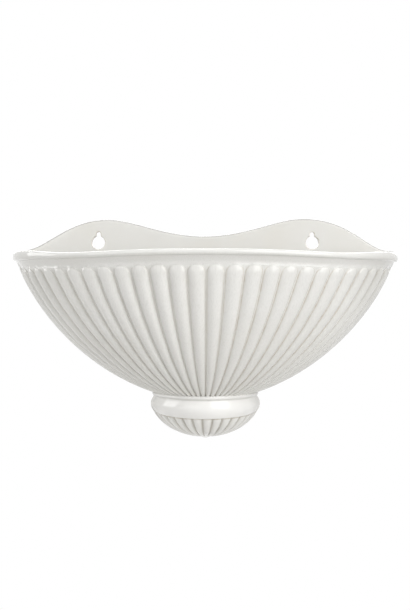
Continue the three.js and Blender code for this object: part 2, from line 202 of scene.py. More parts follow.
def ripples(along: Array, up: Array, wavelength: float, seed: int, waves: int = 7) -> Array:
    """A smooth uneven field: sine waves of about one length that run in seeded directions, added up.

    Args:
        along: First place coordinate.
        up: Second place coordinate.
        wavelength: Mean length of a wave, in the same unit.
        seed: Chooses the directions, lengths and phases.
        waves: How many waves there are.

    Returns:
        Heights, mostly between -1 and 1.
    """
    draw = np.random.default_rng(seed)
    total = np.zeros(np.broadcast(along, up).shape)
    least, most = (0, 0, 0.7), (2 * np.pi, 2 * np.pi, 1.4)
    for heading, phase, stretch in draw.uniform(least, most, (waves, 3)):
        travel = along * np.cos(heading) + up * np.sin(heading)
        total += np.sin(travel * 2 * np.pi / (wavelength * stretch) + phase)
    return total / math.sqrt(waves)


def inside(points: Array, outline: Array) -> Array:
    """Tells which points lie inside a closed outline, by counting the edges crossed to their right.

    Args:
        points: The points to test.
        outline: Corners of the outline.

    Returns:
        True for each point inside.
    """
    start = outline[None]
    end = np.roll(outline, -1, axis=0)[None]
    x, z = points[:, None, 0], points[:, None, 1]
    spans = (start[..., 1] > z) != (end[..., 1] > z)
    rise = np.where(spans, end[..., 1] - start[..., 1], 1.0)
    crossing = start[..., 0] + (z - start[..., 1]) * (end[..., 0] - start[..., 0]) / rise
    return (spans & (x < crossing)).sum(axis=1) % 2 == 1


def make_piece(
    name: str, corners: Array, faces: list[list[int]], traits: dict[Trait, Array]
) -> bpy.types.Object:
    """Makes a smooth-shaded mesh object from corners in millimetres.

    Args:
        name: Name of the piece.
        corners: One row for each corner.
        faces: Corner numbers of each face, anticlockwise as seen from outside.
        traits: A value for each corner, for the glaze to read.

    Returns:
        The object, at the origin.
    """
    mesh = bpy.data.meshes.new(name)
    mesh.from_pydata((corners * MM).tolist(), [], faces)
    for trait, values in traits.items():
        layer = mesh.attributes.new(trait.value, "FLOAT", "POINT")
        layer.data.foreach_set("value", np.ascontiguousarray(values, np.float32).ravel())
    mesh.polygons.foreach_set("use_smooth", np.ones(len(mesh.polygons), bool))
    shape = bmesh.new()
    shape.from_mesh(mesh)
    bmesh.ops.remove_doubles(shape, verts=shape.verts, dist=MERGE_DISTANCE * MM)
    shape.to_mesh(mesh)
    shape.free()
    mesh.update()
    return add_object(name, mesh)


def seat(piece: bpy.types.Object, node: str, glaze: bpy.types.Material) -> None:
    """Puts a finished piece in the place of its CAD node.

    Args:
        piece: The piece.
        node: Name of the CAD node.
        glaze: The piece's finish.
    """
    piece.data.materials.append(glaze)
    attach(piece, BODY)
    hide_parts(node)
    LOG.info("%s: %d corners, %d faces", piece.name, len(piece.data.vertices), len(piece.data.polygons))


# ---- Finishes ----------------------------------------------------------------------------------------


@dataclass(frozen=True)
class Mottle:
    """A soft uneven pattern in the glaze: noise whose middle range is stretched to a range of shares.

    Attributes:
        size: Length of its largest spots, in mm.
        layers: How many layers of finer spots it has.
        noise: The two noise values that give the two shares.
        shares: What the pattern gives there, and beyond.
        grain: How strong the finer layers are.
    """

    size: float
    layers: float
    noise: tuple[float, float]
    shares: tuple[float, float]
    grain: float = 0.5

    def add(self, tree: bpy.types.NodeTree, place: Socket) -> Socket:
        """Adds the pattern to a material.

        Args:
            tree: The material's nodes.
            place: Where each point lies, in metres.

        Returns:
            The share.
        """
        spots = {"Scale": 1 / (self.size * MM), "Detail": self.layers, "Roughness": self.grain}
        noise = add_node(tree, "ShaderNodeTexNoise", {"Vector": place, **spots})
        limits = dict(zip(("From Min", "From Max", "To Min", "To Max"), self.noise + self.shares))
        share = add_node(tree, "ShaderNodeMapRange", {"Value": noise.outputs["Fac"], **limits})
        return share.outputs["Result"]


@dataclass(frozen=True)
class WhiteGlaze:
    """Glossy transparent glaze, dipped and fired over warm white earthenware.

    The eye sees a creamy white with sharp reflections. Hollows, grooves and edges that turn away get painted
    shade in grey, in the grooves partly pooled glaze; the glaze breaks thin and brownish on sharp edges; the
    lip gets painted light in a whiter colour; and its skin is slightly uneven. Where it was wiped off, the
    dull cream biscuit shows.

    Attributes:
        name: Name of the material.
        body: Colour of the glazed body.
        lip_light: Colour of the painted light on the lip.
        shade_and_streaks: Grey of the painted shade, partly pooled glaze, and of the streaks.
        bare: Colour where it breaks thin on an edge.
        biscuit: Colour of the unglazed clay.
        cast: Colour of faint warm clouds.
        cast_size: Length of a cloud, in mm.
        cast_strength: Largest share of the clouds.
        streak_strength: Largest share of the upright streaks that the glaze left as it ran down.
        streak_width: In mm.
        streak_length: In mm.
        speck_size: Length of the specks in which a thin edge is worn, in mm. Real ones are under 1 mm, which
            is too fine to show, so they are drawn coarser.
        haze_size: Length of the sharper and softer patches in the gloss, in mm.
        haze: How far their roughness differs from the mean, as a share of it.
        peel_size: Length of the orange peel's dimples, in mm.
        peel_height: Their depth, in mm.
        roughness: Mean roughness of the glaze.
        biscuit_roughness: Roughness of the unglazed clay.
        ior: Refractive index of the glaze.
    """

    name: str
    body: str = "#E4E3DE"
    # Whiter colour for the painted light on the lip.
    lip_light: str = "#EEEDE9"
    # Grey for the painted shade, partly pooled glaze, and for the streaks.
    shade_and_streaks: str = "#DCDAD5"
    bare: str = "#CFC1AD"
    biscuit: str = "#DDD3C4"
    cast: str = "#DEDAD0"
    cast_size: float = 45.0
    cast_strength: float = 0.35
    streak_strength: float = 0.0
    streak_width: float = 0.9
    streak_length: float = 26.0
    speck_size: float = 5.0
    haze_size: float = 12.0
    haze: float = 0.3
    peel_size: float = 2.4
    peel_height: float = 0.003
    roughness: float = 0.035
    biscuit_roughness: float = 0.7
    ior: float = 1.54

    def build(self) -> bpy.types.Material:
        """Makes the material.

        Returns:
            The material, with its colour, roughness and bump worked out from the piece's own coordinates.
        """
        material = bpy.data.materials.new(self.name)
        tree = empty_tree(material)
        place = add_node(tree, "ShaderNodeTexCoord").outputs["Object"]
        traits = {}
        for trait in Trait:
            read = add_node(tree, "ShaderNodeAttribute", attribute_name=trait.value)
            traits[trait] = read.outputs["Fac"]
        spread = (self.roughness * (1 - self.haze), self.roughness * (1 + self.haze))
        gloss = Mottle(self.haze_size, layers=3.0, noise=(0.3, 0.7), shares=spread).add(tree, place)
        rough = add_node(tree, "ShaderNodeMix", {0: traits[Trait.WIPED], 2: gloss, 3: self.biscuit_roughness})
        spots = {"Scale": 1 / (self.peel_size * MM), "Detail": 2.0}
        peel = add_node(tree, "ShaderNodeTexNoise", {"Vector": place, **spots}).outputs["Fac"]
        relief = {"Strength": 1.0, "Distance": self.peel_height * MM, "Height": peel}
        surface = {
            "Base Color": self._colour(tree, place, traits),
            "Roughness": rough.outputs[0],
            "IOR": self.ior,
            "Normal": add_node(tree, "ShaderNodeBump", relief).outputs["Normal"],
        }
        shader = add_node(tree, "ShaderNodeBsdfPrincipled", surface)
        add_node(tree, "ShaderNodeOutputMaterial", {"Surface": shader.outputs["BSDF"]})
        return material

    def _colour(self, tree: bpy.types.NodeTree, place: Socket, traits: dict[Trait, Socket]) -> Socket:
        """Works out the colour, layer over layer.

        Over the body lie faint warm clouds, upright streaks, painted light on the lip and painted shade,
        partly pooled glaze. Where the glaze breaks thin, the clay shows through in specks, and where it was
        wiped off, all of it shows.

        Args:
            tree: The material's nodes.
            place: Object coordinates.
            traits: What the mesh tells of the glaze.

        Returns:
            The colour output.
        """
        bright = (0.45, 0.75)
        clouds = Mottle(self.cast_size, layers=4.0, noise=bright, shares=(0.0, self.cast_strength))
        across, down = 1 / (self.streak_width * MM), 1 / (self.streak_length * MM)
        stretch = {0: place, 1: (across, across, down)}
        drawn_out = add_node(tree, "ShaderNodeVectorMath", stretch, operation="MULTIPLY").outputs["Vector"]
        streaks = Mottle(1 / MM, layers=2.0, noise=bright, shares=(0.0, self.streak_strength))
        specks = Mottle(self.speck_size, layers=5.0, noise=(0.35, 0.68), shares=(0.25, 1.0), grain=0.7)
        worn = {0: traits[Trait.BREAK], 1: specks.add(tree, place)}
        thin = add_node(tree, "ShaderNodeMath", worn, operation="MULTIPLY", use_clamp=True).outputs["Value"]
        colour = linear_colour(self.body)
        for share, code in (
            (clouds.add(tree, place), self.cast),
            (streaks.add(tree, drawn_out), self.shade_and_streaks),
            # Painted light on the lip, then painted shade, partly pooled glaze.
            (traits[Trait.THICK], self.lip_light),
            (traits[Trait.POOL_AND_SHADE], self.shade_and_streaks),
            (thin, self.bare),
            (traits[Trait.WIPED], self.biscuit),
        ):
            layer = {0: share, 6: colour, 7: linear_colour(code)}
            colour = add_node(tree, "ShaderNodeMix", layer, data_type="RGBA").outputs[2]
        return colour


# ---- Half shells -------------------------------------------------------------------------------------


@dataclass
class Rows:
    """Levels of a half shell, from bottom to top outside and from top to bottom inside.

    Attributes:
        width: Half width at each level.
        depth: How far the level stands in front of the plate.
        level: Height.
        end: Angle of the level's arc where it meets the plate, in degrees from its front.
    """

    SMALLEST = 1e-4
    STEEPEST = 4.0

    width: Array
    depth: Array
    level: Array
    end: Array

    def __add__(self, other: Rows) -> Rows:
        """Puts other rows after these."""
        return Rows(*(np.concatenate(pair) for pair in zip(self.parts(), other.parts())))

    def parts(self) -> tuple[Array, Array, Array, Array]:
        """The four arrays of the rows."""
        return self.width, self.depth, self.level, self.end

    def shares(self, place: Array) -> tuple[Array, Array]:
        """Where points on a stretched arc lie, as shares of its half width and of its depth.

        With t = place * end, these are sin(t) / sin(end) and (cos(t) - cos(end)) / (1 - cos(end)).

        Args:
            place: Place of each point round the plan, from -1 to 1, by row and column.

        Returns:
            Both shares, by row and column.
        """
        end = np.radians(self.end)[:, None]
        turn = place * end
        return np.sin(turn) / np.sin(end), (np.cos(turn) - np.cos(end)) / (1 - np.cos(end))

    def lean(self, place: Array) -> Array:
        """How much longer a carve is when it is measured level instead of square to the leaning skin.

        The skin is taken as a half ellipse, where hypot(x / width, y / depth) is 1. Its slope upwards, set
        against its slope outwards, gives the lean.

        Args:
            place: Place round the plan, one value for each row and column.

        Returns:
            The factor for each row and column, from 1 up to 4.
        """
        rise = np.gradient(self.level)
        rise = np.where(np.abs(rise) < self.SMALLEST, self.SMALLEST, rise)[:, None]
        width, depth = np.maximum(self.width, 1)[:, None], np.maximum(self.depth, 1)[:, None]
        side = np.gradient(self.width)[:, None] / rise / width
        front = np.gradient(self.depth)[:, None] / rise / depth
        across, forward = np.sin(place * np.pi / 2), np.cos(place * np.pi / 2)
        level = np.hypot(across / width, forward / depth)
        return np.clip(np.hypot(level, across**2 * side + forward**2 * front) / level, 1, self.STEEPEST)

    def placed(self, place: Array, carve: Array, front: float) -> Array:
        """Points of the skin: a stretched arc at each level, set back by the carve.

        The carve runs straight back at the front of the plan and straight across at the plate.

        Args:
            place: Place round the plan, from -1 to 1, by row and column.
            carve: How far each point lies behind the arc, measured level.
            front: The y of the plate's front face.

        Returns:
            Points by row and column.
        """
        width, depth, level = (part[:, None] for part in self.parts()[:3])
        across, ahead = self.shares(place)
        aside, forward = depth * np.sin(place * np.pi / 2), width * np.cos(place * np.pi / 2)
        reach = np.maximum(np.hypot(aside, forward), self.SMALLEST)
        x = width * across - carve * aside / reach
        y = front - depth * ahead + carve * forward / reach
        return np.stack([x, y, np.broadcast_to(level, x.shape)], axis=-1)


@dataclass
class FlutedColumns:
    """Columns round a shell that follow its flutes.

    Each flute has a raised face between two grooves. Columns on the face keep their place across it, from
    -1 at its left edge to 1 at its right edge, also where the face narrows in its round head.

    Attributes:
        bounds: Places of the grooves' middles round the plan, from -1 to 1.
        face_share: The face's share of a flute's width.
        places: Places of the columns across a face.
    """

    bounds: Array
    face_share: float
    places: tuple[float, ...] = (
        -1, -0.97, -0.9, -0.78, -0.6, -0.4, -0.2, 0, 0.2, 0.4, 0.6, 0.78, 0.9, 0.97, 1,
    )

    def __post_init__(self) -> None:
        """Works out, for each column, its flute and how its place across it grows with the face's span.

        A flute starts with a column in the middle of its left groove and one halfway from there to the face.
        After the face comes one halfway to the middle of the right groove.
        """
        face = np.array(self.places)
        still = np.concatenate([[0.0, 0.25], np.full(len(face), 0.5), [0.75]])
        moving = np.concatenate([[0.0, -0.25], face / 2, [0.25]]) * self.face_share
        off = np.concatenate([[-2.0, -1.5], face, [1.5]])
        count = len(self.bounds) - 1
        self.flute = np.append(np.repeat(np.arange(count), len(still)), count - 1)
        self.still = np.append(np.tile(still, count), 1.0)
        self.moving = np.append(np.tile(moving, count), 0.0)
        self.off = np.append(np.tile(off, count), 2.0)

    def across(self, span: Array) -> Array:
        """Place of each column in its flute, from 0 to 1, where the faces keep this share of their width."""
        return self.still[None] + self.moving[None] * span[:, None]

    def place(self, span: Array) -> Array:
        """Place of each column round the plan, by row and column."""
        start = self.bounds[self.flute][None]
        return start + self.across(span) * (self.bounds[self.flute + 1][None] - start)

    def evenly(self, rows: int) -> Array:
        """Place of each column round the plan where the faces keep their full width."""
        return self.place(np.ones(rows))


def swept_faces(rows: int, columns: int) -> list[list[int]]:
    """Faces of a closed section that is swept from the first column to the last, with an end face on each.

    Args:
        rows: Corners of the section.
        columns: Places along the sweep.

    Returns:
        Corner numbers of each face.
    """
    index = np.arange(rows * columns).reshape(rows, columns)
    above = np.roll(index, -1, axis=0)
    quads = np.stack([index[:, :-1], index[:, 1:], above[:, 1:], above[:, :-1]], axis=-1)
    return [*quads.reshape(-1, 4).tolist(), index[:, 0].tolist(), index[::-1, -1].tolist()]


def sunk_into_plate(grid: Array, front: float, depth: float) -> Array:
    """Adds a column at each end that sinks the shell's ends into the plate, so that no gap shows.

    Args:
        grid: Points by row and column.
        front: The y of the plate's front face.
        depth: How far the new columns lie behind it.

    Returns:
        The wider grid.
    """
    ends = grid[:, [0, -1]].copy()
    ends[..., 1] = front + depth
    return np.concatenate([ends[:, :1], grid, ends[:, 1:]], axis=1)


def fillet(distance: Array, radius: float) -> Array:
    """Height of a hollow quarter round of glaze against the plate, at a distance in front of it."""
    share = np.clip(1 - distance / radius, 0, 1)
    return radius * (1 - np.sqrt(1 - share**2))


def rounded_face(off: Array, fullness: float | Array) -> Array:
    """Height of a flute's face, from 1 in its middle to 0 at its edges: (1 - off ^ 2) ^ fullness."""
    return (1 - np.clip(np.abs(off), 0, 1) ** 2) ** fullness


def along_edges(off: Array, width: float) -> Array:
    """1 on a flute's two edges and less beside them: exp(-((|off| - 1) / width) ^ 2)."""
    return np.exp(-(((np.abs(off)[None] - 1.0) / width) ** 2))


@dataclass
class HalfShell:
    """What the three hollow pieces share.

    Attributes:
        front: The y of the plate's front face.
        sink: How far the ends reach into the plate.
        outer_fillet: Radius of the glaze that fills the corner outside, against the plate.
        inner_fillet: Radius of the fillet inside.
        fullness: Shape of a flute's face: 0.5 is a half ellipse and 1 is a parabola.
        dip: How far the front of the collar and the drop hangs down.
        rise: How far their ends go up.
        overlap: How far they reach into the piece above.
        end_shade: Share of painted shade beside the plate.
        end_shade_start: Place round the plan where that begins.
    """

    front: float = -7.0
    sink: float = 0.4
    outer_fillet: float = 1.2
    inner_fillet: float = 4.0
    fullness: float = 0.75
    dip: float = 1.3
    rise: float = 2.0
    overlap: float = 0.4
    # Painted shade where the shell meets the plate.
    end_shade: float = 0.5
    end_shade_start: float = 0.7

    def skin(self, rows: Rows, place: Array, carve: Array) -> Array:
        """Points of an outer skin, with its fillet against the plate.

        Args:
            rows: The skin's rows.
            place: Place of each point round the plan.
            carve: How far each point lies behind the skin's outline, square to it.

        Returns:
            Points by row and column.
        """
        ahead = rows.depth[:, None] * rows.shares(place)[1]
        carve = np.maximum(carve - fillet(ahead, self.outer_fillet), np.minimum(carve, 0))
        return rows.placed(place, carve * rows.lean(place), self.front)

    def inner_skin(self, rows: Rows, place: Array) -> Array:
        """Points of a smooth inner skin, with its fillet against the plate.

        Args:
            rows: The skin's rows.
            place: Place of each point round the plan.

        Returns:
            Points by row and column.
        """
        ahead = rows.depth[:, None] * rows.shares(place)[1]
        return rows.placed(place, fillet(ahead, self.inner_fillet), self.front)

    def dipped(self, points: Array, share: Array) -> Array:
        """Lowers the front of a skin and lifts its ends, as soft clay sags away from the plate.

        Args:
            points: Points of one skin.
            share: How far each row moves, from 0 to 1.

        Returns:
            The points at their new heights.
        """
        ahead = self.front - points[..., 1]
        ahead = np.clip(ahead / max(float(ahead.max()), 1.0), 0, 1)
        moved = points.copy()
        moved[..., 2] += (self.rise - (self.rise + self.dip) * np.sqrt(ahead)) * share[:, None]
        return moved

    def shaded_ends(self, place: Array) -> Array:
        """Share of painted shade towards the plate, by place round the plan."""
        return self.end_shade * smooth_step((np.abs(place) - self.end_shade_start) / (1 - self.end_shade_start))

    def close(self, name: str, outer: Array, inner: Array, traits: dict[Trait, Array]) -> bpy.types.Object:
        """Joins the outer and inner skins into one closed shell.

        Args:
            name: Name of the piece.
            outer: Points of the outer skin.
            inner: Points of the inner skin.
            traits: What the outer skin tells its glaze, by row and column.

        Returns:
            The piece.
        """
        grid = sunk_into_plate(np.concatenate([outer, inner]), self.front, self.sink)
        blank = np.zeros(inner.shape[:2])
        layers = {}
        for trait, values in traits.items():
            layer = np.concatenate([np.broadcast_to(values, outer.shape[:2]), blank])
            layers[trait] = np.pad(layer, ((0, 0), (1, 1)), mode="edge")
        rows, columns = grid.shape[:2]
        return make_piece(name, grid.reshape(-1, 3), swept_faces(rows, columns), layers)


@dataclass(frozen=True)
class GlazeRun:
    """How the glaze lies on the fluted bowl, and where light and shade are painted on it.

    The grooves get painted shade, partly pooled glaze, less on the right where the light falls and more
    towards the far ends. The far ends and the lower flutes get painted shade of their own. The glaze breaks
    thin along the flutes' edges, most of all on the right, and above the collar. Strengths are shares, and
    lengths are in mm.
    """

    # Painted shade in the grooves, partly pooled glaze; less on the lit right, more towards the far ends, and
    # less on the lip.
    groove_pool_and_shade: float = 0.25
    groove_shade_lost_right: float = 0.2
    groove_shade_gained_far: float = 0.95
    # Painted shade towards the far ends.
    far_shade: float = 0.25
    # Painted shade, darker towards the foot.
    low_shade: float = 0.15
    low_shade_start: float = 0.3
    lip_shade_lost: float = 0.5
    edge: float = 0.75
    edge_width: float = 0.07
    edge_left: float = 0.3
    edge_lost_far: float = 0.5
    neck_edge: float = 0.3
    neck_height: float = 9.0
    right_start: float = -20.0
    right_length: float = 60.0
    far_start: float = 120.0
    far_length: float = 60.0
    far_left: float = 0.5
    far_right: float = 1.2
    lip_light_start: float = 0.6


@dataclass
class FlutedBowl(HalfShell):
    """The half bowl: 28 flutes with round heads under a plain hollow band and a rounded lip."""

    # The grey is painted shade, partly pooled glaze; the lip's whiter colour is painted light.
    finish: WhiteGlaze = WhiteGlaze(
        "white_glaze_on_flutes",
        body="#EDECE8",
        shade_and_streaks="#B9B6AE",
        bare="#C6B7A1",
        cast_strength=0.15,
        streak_strength=0.15,
    )
    run: GlazeRun = GlazeRun()
    # The lip, and how it settled in the kiln.
    rim_top: float = -13.2
    lip_radius: float = 2.6
    lip_flare: float = 4.1
    lip_undercut: float = 78.0
    lip_inner_rounding: float = 8.0
    lip_droop: float = 1.0
    droop_start: float = 100.0
    droop_length: float = 90.0
    corner_rise: float = 3.4
    corner_start: float = 0.62
    corner_length: float = 0.36
    flank_sag: float = 1.7
    flank_skew: float = 1.5
    # The band under the lip, and the plate's flared edge behind it.
    band_height: float = 8.0
    band_lean: float = 3.1
    band_recess: float = 2.2
    band_straight: float = 0.85
    cove_height: float = 0.35
    flare_radius: float = 2.6
    flare_undercut: float = 50.0
    flare_slope: float = 0.15
    corner_drop: float = 1.0
    # The fluted body, from its head down to its foot.
    head_half_width: float = 183.0
    head_depth: float = 124.5
    head_end: float = 85.0
    fluted_height: float = 121.0
    foot_half_width: float = 51.8
    foot_depth: float = 55.0
    foot_end: float = 72.0
    side_angle: float = 21.1
    side_sweep: float = 44.1
    belly_angle: float = 18.3
    belly_sweep: float = 71.2
    wall: float = 6.5
    # The flutes.
    flute_count: int = 28
    flute_width: float = 16.7
    face_share: float = 0.93
    head_radius: float = 8.0
    head_fullness: float = 0.42
    head_squareness: float = 2.1
    head_easing: float = 5.0
    narrowest_head: float = 0.12
    relief_top: float = 4.4
    relief_foot: float = 2.0
    groove_run_in: float = 16.0
    # How uneven the hand left it.
    spacing_error: float = 0.0014
    relief_error: float = 0.04
    ripple_height: float = 0.08
    ripple_length: float = 26.0
    seed: int = 30
    # Rows, and how they crowd together in the heads and in the cove under the lip.
    body_rows: int = 64
    head_rows: int = 26
    band_rows: int = 9
    lip_rows: int = 14
    flare_steps: int = 12
    roll_rows: int = 10
    inside_rows: int = 28
    curve_points: int = 600
    plan_points: int = 2001
    crowded_height: float = 1.6
    body_crowding: float = 1.15
    head_crowding: float = 1.7
    cove_crowding: float = 1.6

    def __post_init__(self) -> None:
        """Works out the levels and the fine points of the side."""
        self.lip_centre = self.rim_top - self.lip_radius
        self.head_level = self.lip_centre - self.lip_radius - self.band_height
        self.foot = self.head_level - self.fluted_height
        belly, side = math.radians(self.belly_angle), math.radians(self.side_angle)
        start = np.array([self.foot_half_width, self.foot])
        end = np.array([self.head_half_width, self.head_level])
        leave = start + self.belly_sweep * np.array([math.cos(belly), math.sin(belly)])
        arrive = end - self.side_sweep * np.array([math.sin(side), math.cos(side)])
        self.side = bezier([start, leave, arrive, end], np.linspace(0, 1, self.curve_points))

    def width_at(self, level: Array) -> Array:
        """Half width of the bowl's outside at a level, on the side's curve."""
        return np.interp(level, self.side[:, 1], self.side[:, 0])

    def plan_for(self, width: Array) -> tuple[Array, Array]:
        """Works out the plan of a level by a straight mix from foot to head.

        Args:
            width: Half width of the level.

        Returns:
            Its depth in front of the plate, and its end angle.
        """
        share = (width - self.foot_half_width) / (self.head_half_width - self.foot_half_width)
        depth = self.foot_depth + share * (self.head_depth - self.foot_depth)
        return depth, self.foot_end + share * (self.head_end - self.foot_end)

    def band(self, steps: int) -> Array:
        """Points up the plain band, from the flute heads to the underside of the lip.

        The band leans out almost straight and turns into the lip's underside in a small cove.

        Args:
            steps: Steps up the band.

        Returns:
            Half widths and levels.
        """
        low = np.array([self.head_half_width, self.head_level])
        high = self.lip(-self.lip_undercut, 1)[0]
        bend = np.array([self.head_half_width + self.band_lean, high[1] - self.cove_height])
        near = low + self.band_straight * (bend - low)
        share = 1 - (1 - np.linspace(0, 1, steps + 1)) ** self.cove_crowding
        return bezier([low, near, bend, bend, high], share)

    def flare(self, steps: int) -> Array:
        """Points up the plate's flared edge behind the band, from the flute heads to beside the lip.

        Args:
            steps: Steps on the cove, and again on the round above it.

        Returns:
            Half widths and levels.
        """
        turn = math.radians(self.flare_undercut)
        low = (self.head_half_width, self.head_level)
        edge = self.head_half_width + self.lip_flare + self.lip_radius
        centre = (edge - self.flare_radius, self.rim_top - self.corner_drop)
        high = arc(centre, self.flare_radius, -self.flare_undercut, 0, 1)[0]
        rise = high[1] - low[1]
        fall = (high[0] - low[0] - self.flare_slope * rise) / (math.tan(turn) - self.flare_slope)
        bend = (low[0] + self.flare_slope * (rise - fall), high[1] - fall)
        cove = bezier([low, bend, high], np.linspace(0, 1, steps + 1))
        return np.concatenate([cove[:-1], arc(centre, self.flare_radius, -self.flare_undercut, 0, steps)])

    def lip(self, start: float, steps: int) -> Array:
        """Points round the lip, from an angle below level up to its crown."""
        centre = (self.head_half_width + self.lip_flare, self.lip_centre)
        return arc(centre, self.lip_radius, start, 90, steps)

    def outline(self) -> Array:
        """The side of the bowl as the plate follows it: from the middle of the lip down to the foot."""
        return np.concatenate([self.side[:-1], self.flare(self.flare_steps)])[::-1]

    def outer_rows(self) -> Rows:
        """Rows of the outside, from the foot up to the lip's crown.

        Returns:
            Rows that crowd together in the flute heads and round the lip.
        """
        heads = self.crowded_height * self.head_radius
        share = np.linspace(0, 1, self.body_rows, endpoint=False) ** self.body_crowding
        up = (self.fluted_height - heads) * share
        below = heads * np.linspace(1, 0, self.head_rows) ** self.head_crowding
        level = np.concatenate([self.foot + up, self.head_level - below])
        width = self.width_at(level)
        depth, end = self.plan_for(width)
        rim = [self.band(self.band_rows)[1:-1], self.lip(-self.lip_undercut, self.lip_rows)]
        rim = np.concatenate(rim)
        rim_depth = self.head_depth + rim[:, 0] - self.head_half_width
        rim_end = np.full(len(rim), self.head_end)
        return Rows(width, depth, level, end) + Rows(rim[:, 0], rim_depth, rim[:, 1], rim_end)

    def inner_rows(self) -> Rows:
        """Rows of the inside, from the lip's crown down to the throat.

        The inside lies one wall's thickness behind the outside, and is never narrower than the throat.

        Returns:
            The rows, without the crown itself.
        """
        level = self.head_level + (self.foot - self.head_level) * np.linspace(0, 1, self.inside_rows)
        outer_width = self.width_at(level)
        outer_depth, end = self.plan_for(outer_width)
        slope = np.gradient(outer_width, level)
        forward = slope * (self.head_depth - self.foot_depth) / (self.head_half_width - self.foot_half_width)
        width = np.maximum(outer_width - self.wall * np.hypot(1, slope), self.foot_half_width - self.wall)
        depth = np.maximum(outer_depth - self.wall * np.hypot(1, forward), self.foot_depth - self.wall)
        crown = (self.head_half_width + self.lip_flare, self.rim_top)
        corner = (width[0], self.rim_top)
        low = (width[0], self.rim_top - self.lip_inner_rounding)
        roll = bezier([crown, corner, low], np.linspace(0, 1, self.roll_rows))[1:]
        roll_depth = depth[0] + roll[:, 0] - width[0]
        roll_end = np.full(len(roll), self.head_end)
        return Rows(roll[:, 0], roll_depth, roll[:, 1], roll_end) + Rows(width, depth, level, end)

    def columns(self) -> FlutedColumns:
        """Parts the plan at the flute heads into equal lengths, a little uneven as made.

        Returns:
            The columns.
        """
        place = np.linspace(-1, 1, self.plan_points)
        sizes = (self.head_half_width, self.head_depth, 0.0, self.head_end)
        heads = Rows(*(np.array([size]) for size in sizes))
        along = np.diff(heads.placed(place[None], np.zeros(1), 0.0)[0], axis=0)
        length = np.concatenate([[0.0], np.cumsum(np.hypot(along[:, 0], along[:, 1]))])
        shares = np.linspace(0, 1, self.flute_count + 1)
        bounds = np.interp(shares * length[-1], length, place)
        uneven = np.random.default_rng(self.seed).normal(0, self.spacing_error, len(bounds))
        uneven[[0, -1]] = 0
        return FlutedColumns(bounds + uneven, self.face_share)

    def up_the_head(self, below: Array) -> Array:
        """How far up a round head a row lies, from 0 to 1, by its depth below the heads' tops."""
        return np.clip(1 - below / self.head_radius, 0, 1)

    def face_span(self, below: Array) -> Array:
        """Works out how wide the faces are at each row.

        In a head it falls off as a squarish half circle, (1 - up ^ n) ^ (1 / n). Above the heads the columns
        spread out again.

        Args:
            below: How far each row lies below the tops of the heads.

        Returns:
            The share of their full width.
        """
        up = self.up_the_head(below)
        span = (1 - up**self.head_squareness) ** (1 / self.head_squareness)
        span = np.maximum(span, self.narrowest_head)
        opened = self.narrowest_head + (1 - self.narrowest_head) * smooth_step(-below / self.head_easing)
        return np.where(below < 0, opened, span)

    def face_height(self, below: Array, off: Array) -> Array:
        """Works out how high the faces stand, as a share of the grooves' depth.

        In a head the height falls off as a dome: (1 - r ^ 2) ^ fullness, where r joins the place across the
        face and the place up the head. Below it, r is the place across the face alone.

        Args:
            below: How far each row lies below the tops of the heads.
            off: Place of each column across its face.

        Returns:
            The height by row and column.
        """
        up = self.up_the_head(below)[:, None]
        off = np.clip(np.abs(off), 0, 1)[None]
        radius = np.sqrt(np.clip(off**2 * (1 - up**2) + up**2, 0, 1))
        fullness = self.fullness + (self.head_fullness - self.fullness) * up
        return np.where(below[:, None] < 0, 0, rounded_face(radius, fullness))

    def carving(self, rows: Rows, columns: FlutedColumns, height: Array) -> Array:
        """Works out how far the outside is cut back: the grooves, the hollow band and slight ripples.

        Args:
            rows: Rows of the outside.
            columns: Its columns.
            height: How high the faces stand.

        Returns:
            The cut by row and column.
        """
        below = self.head_level - rows.level
        relief = (self.relief_foot - self.relief_top) * np.clip(below / self.fluted_height, 0, 1)
        relief = self.relief_top + relief
        run_in = np.clip(below / self.groove_run_in, 0, 1)
        groove = (self.band_recess + (relief - self.band_recess) * run_in)[:, None]
        uneven = np.random.default_rng(self.seed + 1).normal(0, self.relief_error, self.flute_count)
        groove = groove * (1 + uneven[columns.flute][None])
        plain = self.band_recess * self.down_the_band(below)
        carve = np.where(below[:, None] < 0, plain, groove * (1 - height))
        along = (columns.flute[None] + columns.across(np.ones(1))) * self.flute_width
        return carve + self.ripple_height * ripples(along, rows.level[:, None], self.ripple_length, self.seed)

    def down_the_band(self, below: Array) -> Array:
        """How far down the band each row lies, from 0 at the lip to 1 at the flute heads, as a column."""
        return np.clip(1 + below / self.band_height, 0, 1)[:, None]

    def droop(self, x: Array) -> Array:
        """How far the lip hangs down on the right."""
        return self.lip_droop * smooth_step((x - self.droop_start) / self.droop_length)

    def settled(self, points: Array) -> Array:
        """Moves points down or up as the bowl settled in the kiln.

        The flanks sag most between the front and the plate, by sin(pi * u ^ skew) ^ 2 with u = |x| / edge.
        This fades out towards the foot. The lip grows thicker upwards on its way to the plate's corners.

        Args:
            points: Points of one skin.

        Returns:
            The points at their new heights.
        """
        edge = self.head_half_width + self.lip_flare + self.lip_radius
        aside = np.clip(np.abs(points[..., 0]) / edge, 0, 1)
        height = np.clip((points[..., 2] - self.foot) / self.fluted_height, 0, 1)
        sag = self.flank_sag * np.sin(np.pi * aside**self.flank_skew) ** 2 * height**3
        up_the_lip = smooth_step((points[..., 2] - self.lip_centre) / (2 * self.lip_radius) + 0.5)
        rise = self.corner_rise * smooth_step((aside - self.corner_start) / self.corner_length) * up_the_lip
        settled = points.copy()
        settled[..., 2] += rise - sag
        return settled

